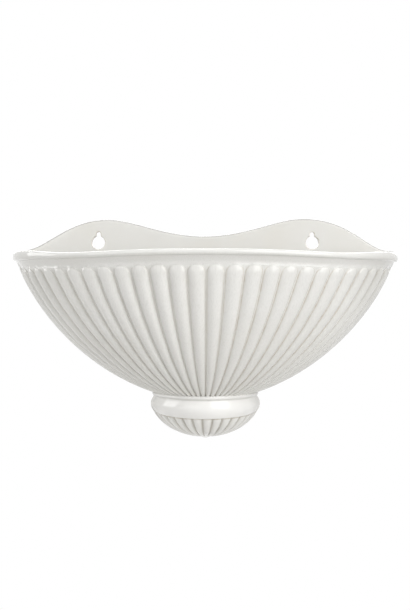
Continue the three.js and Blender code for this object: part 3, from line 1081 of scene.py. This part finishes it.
    def traits(self, x: Array, level: Array, off: Array, height: Array) -> dict[Trait, Array]:
        """Works out how the glaze lies on the outside, with its painted light and shade, as GlazeRun says.

        Painted shade, partly pooled glaze, fills a groove by (1 - height) ^ 2.

        Args:
            x: The x of each point, by row and column.
            level: Level of each row.
            off: Place of each column across its face.
            height: How high the faces stand.

        Returns:
            The outside's traits.
        """
        run, below, hollow = self.run, self.head_level - level, (1 - height) ** 2
        fluted = smooth_step(below / self.head_easing)[:, None]
        right = smooth_step((x - run.right_start) / run.right_length)
        far = smooth_step((np.abs(x) - run.far_start) / run.far_length)
        far = far * np.where(x < 0, run.far_left, run.far_right)
        low = (1 + run.low_shade_start) * below / self.fluted_height - run.low_shade_start
        # Painted shade: the grooves (partly pooled glaze), the far ends and the lower flutes.
        strength = run.groove_pool_and_shade - run.groove_shade_lost_right * right + run.groove_shade_gained_far * far
        pool_and_shade = hollow * fluted * strength + run.far_shade * far + run.low_shade * smooth_step(low)[:, None]
        edge = run.edge * along_edges(off, run.edge_width) * fluted
        edge = edge * (run.edge_left + (1 - run.edge_left) * right) * (1 - run.edge_lost_far * far)
        neck = smooth_step(1 - (level - self.foot) / run.neck_height)[:, None]
        edge = np.maximum(edge, run.neck_edge * neck * hollow)
        # Painted light on the lip.
        lip_light = smooth_step((level - self.lip_centre) / self.lip_radius + run.lip_light_start)[:, None]
        return {Trait.POOL_AND_SHADE: pool_and_shade * (1 - run.lip_shade_lost * lip_light), Trait.BREAK: edge, Trait.THICK: lip_light}

    def build(self) -> bpy.types.Object:
        """Makes the bowl.

        Returns:
            The piece.
        """
        rows, columns = self.outer_rows(), self.columns()
        below = self.head_level - rows.level
        height = self.face_height(below, columns.off)
        outer = self.skin(rows, columns.place(self.face_span(below)), self.carving(rows, columns, height))
        hanging = np.where(below[:, None] < 0, 1 - self.down_the_band(below), 0)
        outer[..., 2] -= self.droop(outer[..., 0]) * hanging
        traits = self.traits(outer[..., 0], rows.level, columns.off, height)
        inner_rows = self.inner_rows()
        inner = self.inner_skin(inner_rows, columns.evenly(len(inner_rows.level)))
        up_the_rim = (inner_rows.level - self.head_level) / (self.rim_top - self.head_level)
        inner[..., 2] -= self.droop(inner[..., 0]) * smooth_step(up_the_rim)[:, None]
        piece = self.close("fluted_bowl_glazed", self.settled(outer), self.settled(inner), traits)
        seat(piece, "fluted_bowl", self.finish.build())
        return piece


@dataclass
class NeckCollar(HalfShell):
    """The collar: a small fillet, a hollow and a swelling roll that narrows to the drop."""

    # The collar's whiter body colour is painted light; its grey is painted shade.
    finish: WhiteGlaze = WhiteGlaze(
        "white_glaze_on_collar", body="#F9F8F5", shade_and_streaks="#B6B3AB", cast_strength=0.1
    )
    top: float = -147.4
    height: float = 19.9
    fillet_height: float = 2.2
    bead: float = 0.5
    hollow_height: float = 1.6
    hollow: float = 0.7
    roll: float = 3.2
    wall: float = 6.0
    top_half_width: float = 51.8
    top_depth: float = 55.0
    foot_half_width: float = 50.1
    foot_depth: float = 52.0
    end: float = 72.0
    columns: int = 200
    roll_rows: int = 30
    cove_rows: int = 8
    bead_rows: int = 10
    inside_rows: int = 12
    half_way_round: float = 90.0
    ripple_height: float = 0.06
    ripple_length: float = 24.0
    seed: int = 5
    # Painted shade in the hollow, and beside the plate.
    hollow_shade: float = 0.5
    hollow_shade_width: float = 0.9
    end_shade: float = 0.45
    end_shade_start: float = 0.65

    def __post_init__(self) -> None:
        """Works out the levels."""
        self.foot = self.top - self.height
        self.roll_top = self.top - self.fillet_height - self.hollow_height

    def outline(self) -> Array:
        """The collar's side from its top down: half widths and levels."""
        rows = self.outer_rows()
        return np.stack([rows.width, rows.level], axis=-1)[::-1][1:]

    def outer_rows(self) -> Rows:
        """Rows of the outside, from the collar's foot up.

        The roll stands out by roll * sin(pi * share), and the hollow and fillet follow as a cove and a
        small half round.

        Returns:
            The rows.
        """
        share = np.linspace(0, 1, self.roll_rows)
        out = self.roll * np.sin(np.pi * share) - self.hollow * share
        level = self.foot + (self.roll_top - self.foot) * share
        width = self.foot_half_width + (self.top_half_width - self.foot_half_width) * share + out
        depth = self.foot_depth + (self.top_depth - self.foot_depth) * share + out
        cove, bead = (np.linspace(0, 1, count)[1:] for count in (self.cove_rows, self.bead_rows))
        rim = np.concatenate([-self.hollow * (1 - cove**2), self.bead * np.sin(np.pi * bead)])
        rim = np.append(rim, rim[-1])
        up_the_cove = self.roll_top + self.hollow_height * cove
        up_the_bead = self.top - self.fillet_height * (1 - bead)
        level = np.concatenate([level, up_the_cove, up_the_bead, up_the_bead[-1:] + self.overlap])
        width = np.concatenate([width, self.top_half_width + rim])
        depth = np.concatenate([depth, self.top_depth + rim])
        return Rows(width, depth, level, np.full(len(level), self.end))

    def inner_rows(self) -> Rows:
        """Rows of the inside, from the top down.

        Returns:
            The rows of one plain tapering wall.
        """
        share = np.linspace(0, 1, self.inside_rows)
        width = self.top_half_width + (self.foot_half_width - self.top_half_width) * share - self.wall
        depth = self.top_depth + (self.foot_depth - self.top_depth) * share - self.wall
        level = self.top + self.overlap - (self.height + self.overlap) * share
        return Rows(width, depth, level, np.full(len(level), self.end))

    def build(self) -> bpy.types.Object:
        """Makes the collar.

        Returns:
            The piece.
        """
        rows, inner_rows = self.outer_rows(), self.inner_rows()
        around = np.linspace(-1, 1, self.columns + 1)[None]
        place = around * np.ones((len(rows.level), 1))
        along = self.half_way_round * place
        carve = self.ripple_height * ripples(along, rows.level[:, None], self.ripple_length, self.seed)
        outer = self.skin(rows, place, carve)
        inner = self.inner_skin(inner_rows, around * np.ones((len(inner_rows.level), 1)))
        # Painted shade in the hollow and beside the plate.
        in_hollow = (rows.level - self.roll_top - self.bead) / self.hollow_shade_width
        pool_and_shade = np.maximum(self.hollow_shade * np.exp(-(in_hollow**2))[:, None], self.shaded_ends(place))
        skins = [
            self.dipped(points, smooth_step((self.top - levels) / self.height))
            for points, levels in ((outer, rows.level), (inner, inner_rows.level))
        ]
        piece = self.close("neck_collar_glazed", *skins, {Trait.POOL_AND_SHADE: pool_and_shade})
        seat(piece, "neck_collar", self.finish.build())
        return piece


@dataclass
class GadroonedDrop(HalfShell):
    """The half dome under the collar, with 13 gadroons that run together in a small tip."""

    # The grey is painted shade in the grooves and beside the plate.
    finish: WhiteGlaze = WhiteGlaze(
        "white_glaze_on_drop", body="#F1F0EC", shade_and_streaks="#C9C6BF", bare="#A99C86", cast_strength=0.1
    )
    top: float = -167.3
    half_width: float = 50.1
    depth: float = 52.0
    end: float = 72.0
    height: float = 23.1
    shoulder: float = 1.18
    belly: float = 2.59
    wall: float = 6.0
    tip_height: float = 2.0
    tip_spread: float = 5.5
    row_crowding: float = 1.1
    outside_rows: int = 44
    inside_rows: int = 16
    outline_points: int = 60
    gadroons: int = 13
    face_share: float = 0.9
    relief: float = 2.1
    twist: float = 0.027
    # Bare glaze in the seam under the collar, and along the gadroons' edges.
    seam_height: float = 1.6
    edge: float = 0.35
    edge_width: float = 0.1

    def rows(self, wall: float, tip: float, count: int) -> Rows:
        """Rows of one skin of the dome, from its lowest point up.

        The dome's share of its half width is (1 - down ^ shoulder) ^ (1 / belly), and the tip hangs from it
        as a small bell: tip * exp(-(width / spread) ^ 2).

        Args:
            wall: How far the skin lies behind the outside.
            tip: How far the tip hangs down.
            count: Number of rows.

        Returns:
            The rows.
        """
        share = np.sin(np.linspace(0, 0.5 * np.pi, count)) ** self.row_crowding
        down = np.clip(1 - share**self.belly, 0, 1) ** (1 / self.shoulder)
        width = (self.half_width - wall) * share
        level = self.top - (self.height - wall) * down - tip * np.exp(-((width / self.tip_spread) ** 2))
        return Rows(width, (self.depth - wall) * share, level, np.full(count, self.end))

    def outline(self) -> Array:
        """The drop's side from its top down: half widths and levels."""
        rows = self.rows(0, self.tip_height, self.outline_points)
        return np.stack([rows.width, rows.level], axis=-1)[::-1][1:]

    def build(self) -> bpy.types.Object:
        """Makes the drop.

        Returns:
            The piece.
        """
        rows = self.rows(0, self.tip_height, self.outside_rows)
        rows = rows + Rows(rows.width[-1:], rows.depth[-1:], rows.level[-1:] + self.overlap, rows.end[-1:])
        inner_rows = Rows(*(part[::-1] for part in self.rows(self.wall, 0, self.inside_rows).parts()))
        bounds = np.linspace(-1, 1, self.gadroons + 1) + self.twist
        bounds[[0, -1]] = (-1, 1)
        columns = FlutedColumns(bounds, self.face_share)
        place = columns.evenly(len(rows.level))
        height = rounded_face(columns.off, self.fullness)[None]
        fade = smooth_step((rows.width - self.tip_spread) / (self.half_width / 2))[:, None]
        outer = self.skin(rows, place, self.relief * fade * (1 - height))
        inner = self.inner_skin(inner_rows, columns.evenly(len(inner_rows.level)))
        # Painted shade in the grooves between the gadroons and beside the plate.
        pool_and_shade = (1 - height) ** 2 * fade + self.shaded_ends(place)
        seam = smooth_step(1 - (self.top - rows.level) / self.seam_height)[:, None]
        seam = np.maximum(seam, self.edge * fade * along_edges(columns.off, self.edge_width))
        skins = [
            self.dipped(points, smooth_step(1 - (self.top - levels) / self.height))
            for points, levels in ((outer, rows.level), (inner, inner_rows.level))
        ]
        piece = self.close("gadrooned_drop_glazed", *skins, {Trait.POOL_AND_SHADE: pool_and_shade, Trait.BREAK: seam})
        seat(piece, "gadrooned_drop", self.finish.build())
        return piece


# ---- Back plate --------------------------------------------------------------------------------------


@dataclass(frozen=True)
class Hump:
    """One half of the crest, from the dip in its middle to the plate's corner.

    Attributes:
        dip: Height of the dip.
        peak: Height of the hump's top.
        offset: From the middle of the plate to the hump's top.
        dip_sweep: How far the crest runs on level from the dip.
        inner_sweep: From the top towards the dip.
        outer_sweep: From the top towards the end.
        shoulder_sweep: From the end towards the top.
        end: Where the crest meets the corner's round.
        corner_sweeps: How far the corner's round runs on level from there, and upright from its tip.
        points: Points on each of its three curves.
    """

    dip: float
    peak: float
    offset: float
    dip_sweep: float
    inner_sweep: float
    outer_sweep: float
    shoulder_sweep: float
    end: tuple[float, float]
    corner_sweeps: tuple[float, float] = (5.5, 3.6)
    points: int = 60

    def outline(self, edge: tuple[float, float]) -> Array:
        """Points from the dip round to the plate's widest point, on three curves that join smoothly.

        Args:
            edge: The plate's widest point.

        Returns:
            The points, for the right half.
        """
        start, top, (end, level) = (0.0, self.dip), (self.offset, self.peak), self.end
        across, up = self.corner_sweeps
        curves = (
            [start, (self.dip_sweep, self.dip), (self.offset - self.inner_sweep, self.peak), top],
            [top, (self.offset + self.outer_sweep, self.peak), (end - self.shoulder_sweep, level), self.end],
            [self.end, (end + across, level), (edge[0], edge[1] + up), edge],
        )
        rise, fall, corner = (bezier(points, np.linspace(0, 1, self.points)) for points in curves)
        return np.concatenate([rise[:-1], fall[:-1], corner])


@dataclass
class BackPlate:
    """The flat plate against the wall, with rounded edges and two keyholes.

    Its side follows the bowl, the collar and the drop.
    """

    bowl: FlutedBowl
    collar: NeckCollar
    drop: GadroonedDrop
    # The grey is painted shade on the crest's rounded edge.
    finish: WhiteGlaze = WhiteGlaze("white_glaze_on_plate", body="#E3E2DE", shade_and_streaks="#9A9892")
    left: Hump = Hump(6.05, 22.45, 96.67, 42.4, 26.3, 41.8, 23.9, (181.45, -8.0))
    right: Hump = Hump(6.15, 23.45, 96.10, 39.7, 25.0, 48.2, 21.3, (181.32, -8.2))
    thickness: float = 7.0
    # Radius of the front edge along the crest and below the lip, where it changes, and of the back edge.
    crest_rounding: float = 1.8
    lower_rounding: float = 0.35
    rounding_level: float = -13.5
    rounding_change: float = 5.0
    back_rounding: float = 0.8
    # The keyholes: a round part with a slot above it. The slot's rise is from the round part's centre.
    keyhole_spacing: float = 211.0
    keyhole_radius: float = 6.4
    slot_width: float = 4.4
    slot_rise: float = 10.6
    slot_fillet: float = 1.3
    keyhole_rounding: float = 0.8
    # Thin glaze on a keyhole's front edge, painted shade on the crest's rounded edge, and the wiped back.
    keyhole_wear: float = 0.5
    shade_start: float = 0.3
    wiped_depth: float = 0.7
    # The uneven front, and the steps of the mesh.
    ripple_height: float = 0.1
    ripple_length: float = 34.0
    spacing: float = 1.2
    face_spacing: float = 4.0
    edge_steps: int = 5
    seed: int = 7

    def outline(self) -> Array:
        """Joins the crest's two halves with the sides of the pieces below.

        Returns:
            The plate's outline, anticlockwise as seen from the front.
        """
        edge = tuple(self.bowl.outline()[0])
        below = np.concatenate([self.bowl.outline()[1:], self.collar.outline(), self.drop.outline()])
        right = np.concatenate([self.right.outline(edge), below])
        left = np.concatenate([self.left.outline(edge), below])[::-1][1:-1] * np.array([-1.0, 1.0])
        return evenly_spaced(np.concatenate([right, left])[::-1], self.spacing)

    def keyhole(self, centre: float) -> Array:
        """A keyhole's outline, clockwise as seen from the front.

        A round hole with a slot above it. Where the slot leaves the round part, a small fillet rounds the
        corner: its centre lies one fillet radius off both the slot's side and the round part.

        Args:
            centre: The x of the round part's centre.

        Returns:
            The corners.
        """
        half = self.slot_width / 2
        aside = half + self.slot_fillet
        up = math.sqrt((self.keyhole_radius + self.slot_fillet) ** 2 - aside**2)
        tilt = math.degrees(math.atan2(up, aside))
        top = (0.0, self.slot_rise - half)
        path = np.concatenate(
            [
                arc((0, 0), self.keyhole_radius, tilt, tilt - (180 + 2 * tilt), 48),
                arc((-aside, up), self.slot_fillet, -tilt, 0, 6),
                arc(top, half, 180, 0, 16),
                arc((aside, up), self.slot_fillet, 180, 180 + tilt, 6)[:-1],
            ]
        )
        return path + np.array([centre, 0.0])

    def ring_stack(self, loop: Array, rounding: Array) -> Array:
        """Rings that carry the plate's rounded edge from its front face to its back.

        Args:
            loop: The outline, with the clay on its left.
            rounding: Radius of the front edge at each corner of the outline.

        Returns:
            Points by ring and corner, from the front ring to the back one.
        """
        along = np.roll(loop, -1, axis=0) - np.roll(loop, 1, axis=0)
        along /= np.hypot(*along.T)[:, None]
        out = np.stack([along[:, 1], -along[:, 0]], axis=-1)
        turn = np.radians(np.linspace(0, 90, self.edge_steps + 1))[:, None]
        back = np.minimum(self.back_rounding, rounding)
        inset = np.concatenate([rounding * (1 - np.sin(turn)), back * (1 - np.cos(turn))])
        y = np.concatenate([-self.thickness + rounding * (1 - np.cos(turn)), -back * (1 - np.sin(turn))])
        flat = loop[None] - inset[..., None] * out[None]
        return np.stack([flat[..., 0], y, flat[..., 1]], axis=-1)

    def face(self, loops: list[Array], numbers: list[Array], fill: Array, first: int) -> Array:
        """Fills a face of the plate with triangles, between its outline and its holes.

        Args:
            loops: The outline and the holes, flat.
            numbers: Corner numbers of each loop.
            fill: More points inside the face.
            first: Corner number of the first of these.

        Returns:
            Corner numbers of the triangles, anticlockwise as seen from the front.
        """
        points = np.concatenate([*loops, fill])
        corner = np.concatenate([*numbers, first + np.arange(len(fill))])
        start, edges = 0, []
        for loop in loops:
            place = np.arange(len(loop))
            edges.append(np.stack([start + place, start + (place + 1) % len(loop)], axis=-1))
            start += len(loop)
        flat = [Vector(point) for point in points.tolist()]
        result = delaunay_2d_cdt(flat, np.concatenate(edges).tolist(), [], 1, 1e-6)
        spots = np.array([list(point) for point in result[0]])
        origin = np.array([found[0] if found else -1 for found in result[3]])
        triangles = np.array([list(face) for face in result[2]])
        middle = spots[triangles].mean(axis=1)
        kept = inside(middle, loops[0])
        for hole in loops[1:]:
            kept &= ~inside(middle, hole)
        triangles = triangles[kept]
        a, b, c = (spots[triangles[:, place]] for place in range(3))
        area = (b - a)[:, 0] * (c - a)[:, 1] - (b - a)[:, 1] * (c - a)[:, 0]
        triangles = np.where(area[:, None] > 0, triangles, triangles[:, ::-1])
        return corner[origin[triangles]]

    def fill(self, loops: list[Array]) -> Array:
        """Points of a square grid on the plate's face, clear of its edges.

        Args:
            loops: The outline and the keyholes, flat.

        Returns:
            The points, flat.
        """
        low, high = self.outline().min(axis=0), self.outline().max(axis=0)
        steps = (np.arange(low[axis], high[axis], self.face_spacing) for axis in (0, 1))
        fill = np.stack(np.meshgrid(*steps), axis=-1).reshape(-1, 2)
        keep = inside(fill, loops[0])
        for loop in loops:
            away = np.hypot(*(fill[:, None] - loop[None]).transpose(2, 0, 1)).min(axis=1)
            keep &= away > self.face_spacing / 2
        for loop in loops[1:]:
            keep &= ~inside(fill, loop)
        return fill[keep]

    def build(self) -> bpy.types.Object:
        """Makes the plate.

        Returns:
            The piece.
        """
        outline = self.outline()
        easing = smooth_step((outline[:, 1] - self.rounding_level) / self.rounding_change)
        rounding = self.lower_rounding + (self.crest_rounding - self.lower_rounding) * easing
        stacks = [self.ring_stack(outline, rounding)]
        for side in (-1, 1):
            hole = self.keyhole(side * self.keyhole_spacing / 2)
            stacks.append(self.ring_stack(hole, np.full(len(hole), self.keyhole_rounding)))
        fill = self.fill([stack[0][:, [0, 2]] for stack in stacks])
        front = np.column_stack([fill[:, 0], np.full(len(fill), -self.thickness), fill[:, 1]])
        corners, faces, indices, count = [], [], [], 0
        for stack in stacks:
            index = count + np.arange(stack[..., 0].size).reshape(stack.shape[:2])
            after = np.roll(index, -1, axis=1)
            quads = np.stack([index[:-1], index[1:], after[1:], after[:-1]], axis=-1)
            faces += quads.reshape(-1, 4).tolist()
            corners.append(stack.reshape(-1, 3))
            indices.append(index)
            count += index.size
        for ring, inner_points in ((0, fill), (-1, np.zeros((0, 2)))):
            loops = [stack[ring][:, [0, 2]] for stack in stacks]
            cover = self.face(loops, [index[ring] for index in indices], inner_points, count)
            faces += (cover if ring == 0 else cover[:, ::-1]).tolist()
        points = np.concatenate([*corners, front])
        worn, pool_and_shade = np.zeros(len(points)), np.zeros(len(points))
        for index in indices[1:]:
            worn[index[1 : self.edge_steps + 2]] = self.keyhole_wear
        # Painted shade on the outer part of the crest's rounded edge, where it turns away.
        turned = smooth_step(np.arange(len(indices[0])) / self.edge_steps * 2 - self.shade_start)
        pool_and_shade[indices[0]] = turned[:, None] * easing
        wavy = smooth_step(-points[:, 1] / self.thickness * 2 - 1)
        waves = ripples(points[:, 0], points[:, 2], self.ripple_length, self.seed)
        points[:, 1] += self.ripple_height * waves * wavy
        wiped = smooth_step(1 + points[:, 1] / self.wiped_depth)
        traits = {Trait.BREAK: worn, Trait.POOL_AND_SHADE: pool_and_shade, Trait.WIPED: wiped}
        piece = make_piece("back_plate_glazed", points, faces, traits)
        seat(piece, "back_plate", self.finish.build())
        return piece


# ---- Studio ------------------------------------------------------------------------------------------


@dataclass(frozen=True)
class SoftBox:
    """A flat lamp that faces the planter.

    Attributes:
        name: Name of the lamp.
        azimuth: Degrees to the right of the planter's front.
        elevation: Degrees above it.
        distance: From the planter, in metres.
        width: In metres.
        height: In metres.
        radiance: Brightness of its face, where 1 is white.
    """

    name: str
    azimuth: float
    elevation: float
    distance: float
    width: float
    height: float
    radiance: float

    def build(self, middle: Vector) -> None:
        """Hangs the lamp.

        Args:
            middle: The point that it faces.
        """
        turn, tilt = math.radians(self.azimuth), math.radians(self.elevation)
        ahead = Vector((math.sin(turn) * math.cos(tilt), -math.cos(turn) * math.cos(tilt), math.sin(tilt)))
        lamp = bpy.data.lights.new(self.name, "AREA")
        lamp.shape = "RECTANGLE"
        lamp.size, lamp.size_y = self.width, self.height
        lamp.energy = self.radiance * math.pi * self.width * self.height
        holder = add_object(self.name, lamp)
        holder.location = middle + ahead * self.distance
        holder.rotation_euler = ahead.to_track_quat("Z", "Y").to_euler()
        holder.visible_camera = False
        LOG.info("lamp %s", self.name)


@dataclass(frozen=True)
class Studio:
    """White surroundings, a pale floor well below the planter, and the lamps.

    Attributes:
        ambient: Light from the surroundings behind the planter, where 1 is white.
        ambient_front: How much more comes from the front.
        middle: The middle of the planter, in metres.
        floor_level: In metres.
        floor_radius: In metres.
        floor_solid: Share of the radius over which the floor is solid, before it fades out.
        floor_colour: Colour of the floor.
        lamps: The lamps, placed by their reflections in the photograph.
    """

    ambient: float = 0.16
    ambient_front: float = 0.42
    middle: tuple[float, float, float] = (0.0, 0.0, -0.085)
    floor_level: float = -0.9
    floor_radius: float = 1.3
    floor_solid: float = 0.4
    floor_colour: str = "#F4F3F0"
    lamps: tuple[SoftBox, ...] = (
        SoftBox("window_right", 42, 20, 2.2, 1.9, 2.4, 2.35),
        SoftBox("window_left", -96, 13, 1.3, 0.7, 0.75, 2.8),
        SoftBox("room_front", -35, 12, 2.0, 1.6, 1.2, 0.9),
        SoftBox("ceiling", -15, 72, 1.1, 0.4, 0.4, 3.5),
        SoftBox("room_behind", 180, 30, 2.0, 2.2, 1.6, 2.6),
    )

    def build(self) -> None:
        """Sets up the surroundings, the floor and the lamps."""
        self._surroundings()
        self._floor()
        for lamp in self.lamps:
            lamp.build(Vector(self.middle))

    def _surroundings(self) -> None:
        """Makes the world white where it is seen, and dimmer where it only lights the planter.

        It is seen by the camera, in a reflection and through a transparent surface.
        """
        world = bpy.data.worlds.new("studio")
        bpy.context.scene.world = world
        tree = empty_tree(world)
        heading = add_node(tree, "ShaderNodeTexCoord").outputs["Generated"]
        towards = add_node(tree, "ShaderNodeSeparateXYZ", {"Vector": heading}).outputs["Y"]
        limits = {"From Min": -1.0, "From Max": 0.0, "To Min": self.ambient_front + self.ambient}
        light = add_node(tree, "ShaderNodeMapRange", {"Value": towards, **limits, "To Max": self.ambient})
        path = add_node(tree, "ShaderNodeLightPath")
        seen = path.outputs["Is Camera Ray"]
        for ray in ("Is Glossy Ray", "Is Transmission Ray"):
            either = {0: seen, 1: path.outputs[ray]}
            seen = add_node(tree, "ShaderNodeMath", either, operation="MAXIMUM").outputs["Value"]
        ends = {"To Min": light.outputs["Result"], "To Max": 1.0}
        strength = add_node(tree, "ShaderNodeMapRange", {"Value": seen, **ends}).outputs["Result"]
        white = linear_colour("#FFFFFF")
        sky = add_node(tree, "ShaderNodeBackground", {"Color": white, "Strength": strength})
        add_node(tree, "ShaderNodeOutputWorld", {"Surface": sky.outputs["Background"]})

    def _floor(self) -> None:
        """Lays a round pale floor that takes the planter's soft shadow, fades out and is clear from below."""
        mesh = bpy.data.meshes.new("floor")
        ring = arc((0, 0), self.floor_radius, 0, 360, 96)[:-1]
        corners = np.column_stack([ring, np.full(len(ring), self.floor_level)])
        mesh.from_pydata(corners.tolist(), [], [list(range(len(ring)))])
        material = bpy.data.materials.new("studio_floor")
        tree = empty_tree(material)
        place = add_node(tree, "ShaderNodeTexCoord").outputs["Object"]
        flat = {0: place, 1: (1, 1, 0)}
        level = add_node(tree, "ShaderNodeVectorMath", flat, operation="MULTIPLY").outputs["Vector"]
        away = add_node(tree, "ShaderNodeVectorMath", {0: level}, operation="LENGTH").outputs["Value"]
        limits = {"From Min": self.floor_radius * self.floor_solid, "From Max": self.floor_radius}
        fade = add_node(
            tree, "ShaderNodeMapRange", {"Value": away, **limits}, interpolation_type="SMOOTHSTEP"
        )
        below = add_node(tree, "ShaderNodeNewGeometry").outputs["Backfacing"]
        either = {0: fade.outputs["Result"], 1: below}
        cleared = add_node(tree, "ShaderNodeMath", either, operation="MAXIMUM").outputs["Value"]
        plain = add_node(tree, "ShaderNodeBsdfDiffuse", {"Color": linear_colour(self.floor_colour)})
        clear = add_node(tree, "ShaderNodeBsdfTransparent")
        faces = {0: cleared, 1: plain.outputs["BSDF"], 2: clear.outputs["BSDF"]}
        mixed = add_node(tree, "ShaderNodeMixShader", faces)
        add_node(tree, "ShaderNodeOutputMaterial", {"Surface": mixed.outputs["Shader"]})
        mesh.materials.append(material)
        add_object("floor", mesh)


@dataclass(frozen=True)
class PhotoCamera:
    """The photograph's view: from straight in front, nearly level, a little below the rim.

    Attributes:
        distance: From the wall, in mm.
        aside: The camera's x, in mm.
        level: The camera's height, in mm.
        aim: The x and z of the point on the wall that it faces, in mm.
        pixels_per_slope: Picture pixels for a slope of 1, so the lens's length in pixels.
        picture_height: Longer side of the picture in pixels.
        sensor: Width of the film that the longer side fills, in mm.
        near: Where the view begins, in metres.
    """

    distance: float = 1000.0
    aside: float = -3.0
    level: float = -63.4
    aim: tuple[float, float] = (-0.35, -61.6)
    pixels_per_slope: float = 1006.0
    picture_height: float = 610.0
    sensor: float = 36.0
    near: float = 0.01

    def build(self) -> None:
        """Sets up the camera."""
        data = bpy.data.cameras.new("photo_camera")
        data.sensor_width = self.sensor
        data.lens = self.pixels_per_slope * self.sensor / self.picture_height
        data.clip_start = self.near
        camera = add_object("photo_camera", data)
        camera.location = Vector((self.aside, -self.distance, self.level)) * MM
        turn = math.atan2(self.aim[0] - self.aside, self.distance)
        lift = math.atan2(self.aim[1] - self.level, self.distance)
        camera.rotation_euler = (math.pi / 2 + lift, 0, -turn)
        bpy.context.scene.camera = camera


def main() -> None:
    """Builds the planter, its surroundings and the camera."""
    logging.basicConfig(level=logging.INFO, format="%(name)s: %(message)s")
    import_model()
    PhotoCamera().build()
    Studio().build()
    bowl, collar, drop = FlutedBowl(), NeckCollar(), GadroonedDrop()
    for part in (BackPlate(bowl, collar, drop), bowl, collar, drop):
        part.build()
    bpy.context.scene.view_settings.view_transform = "Standard"


if __name__ == "__main__":
    main()
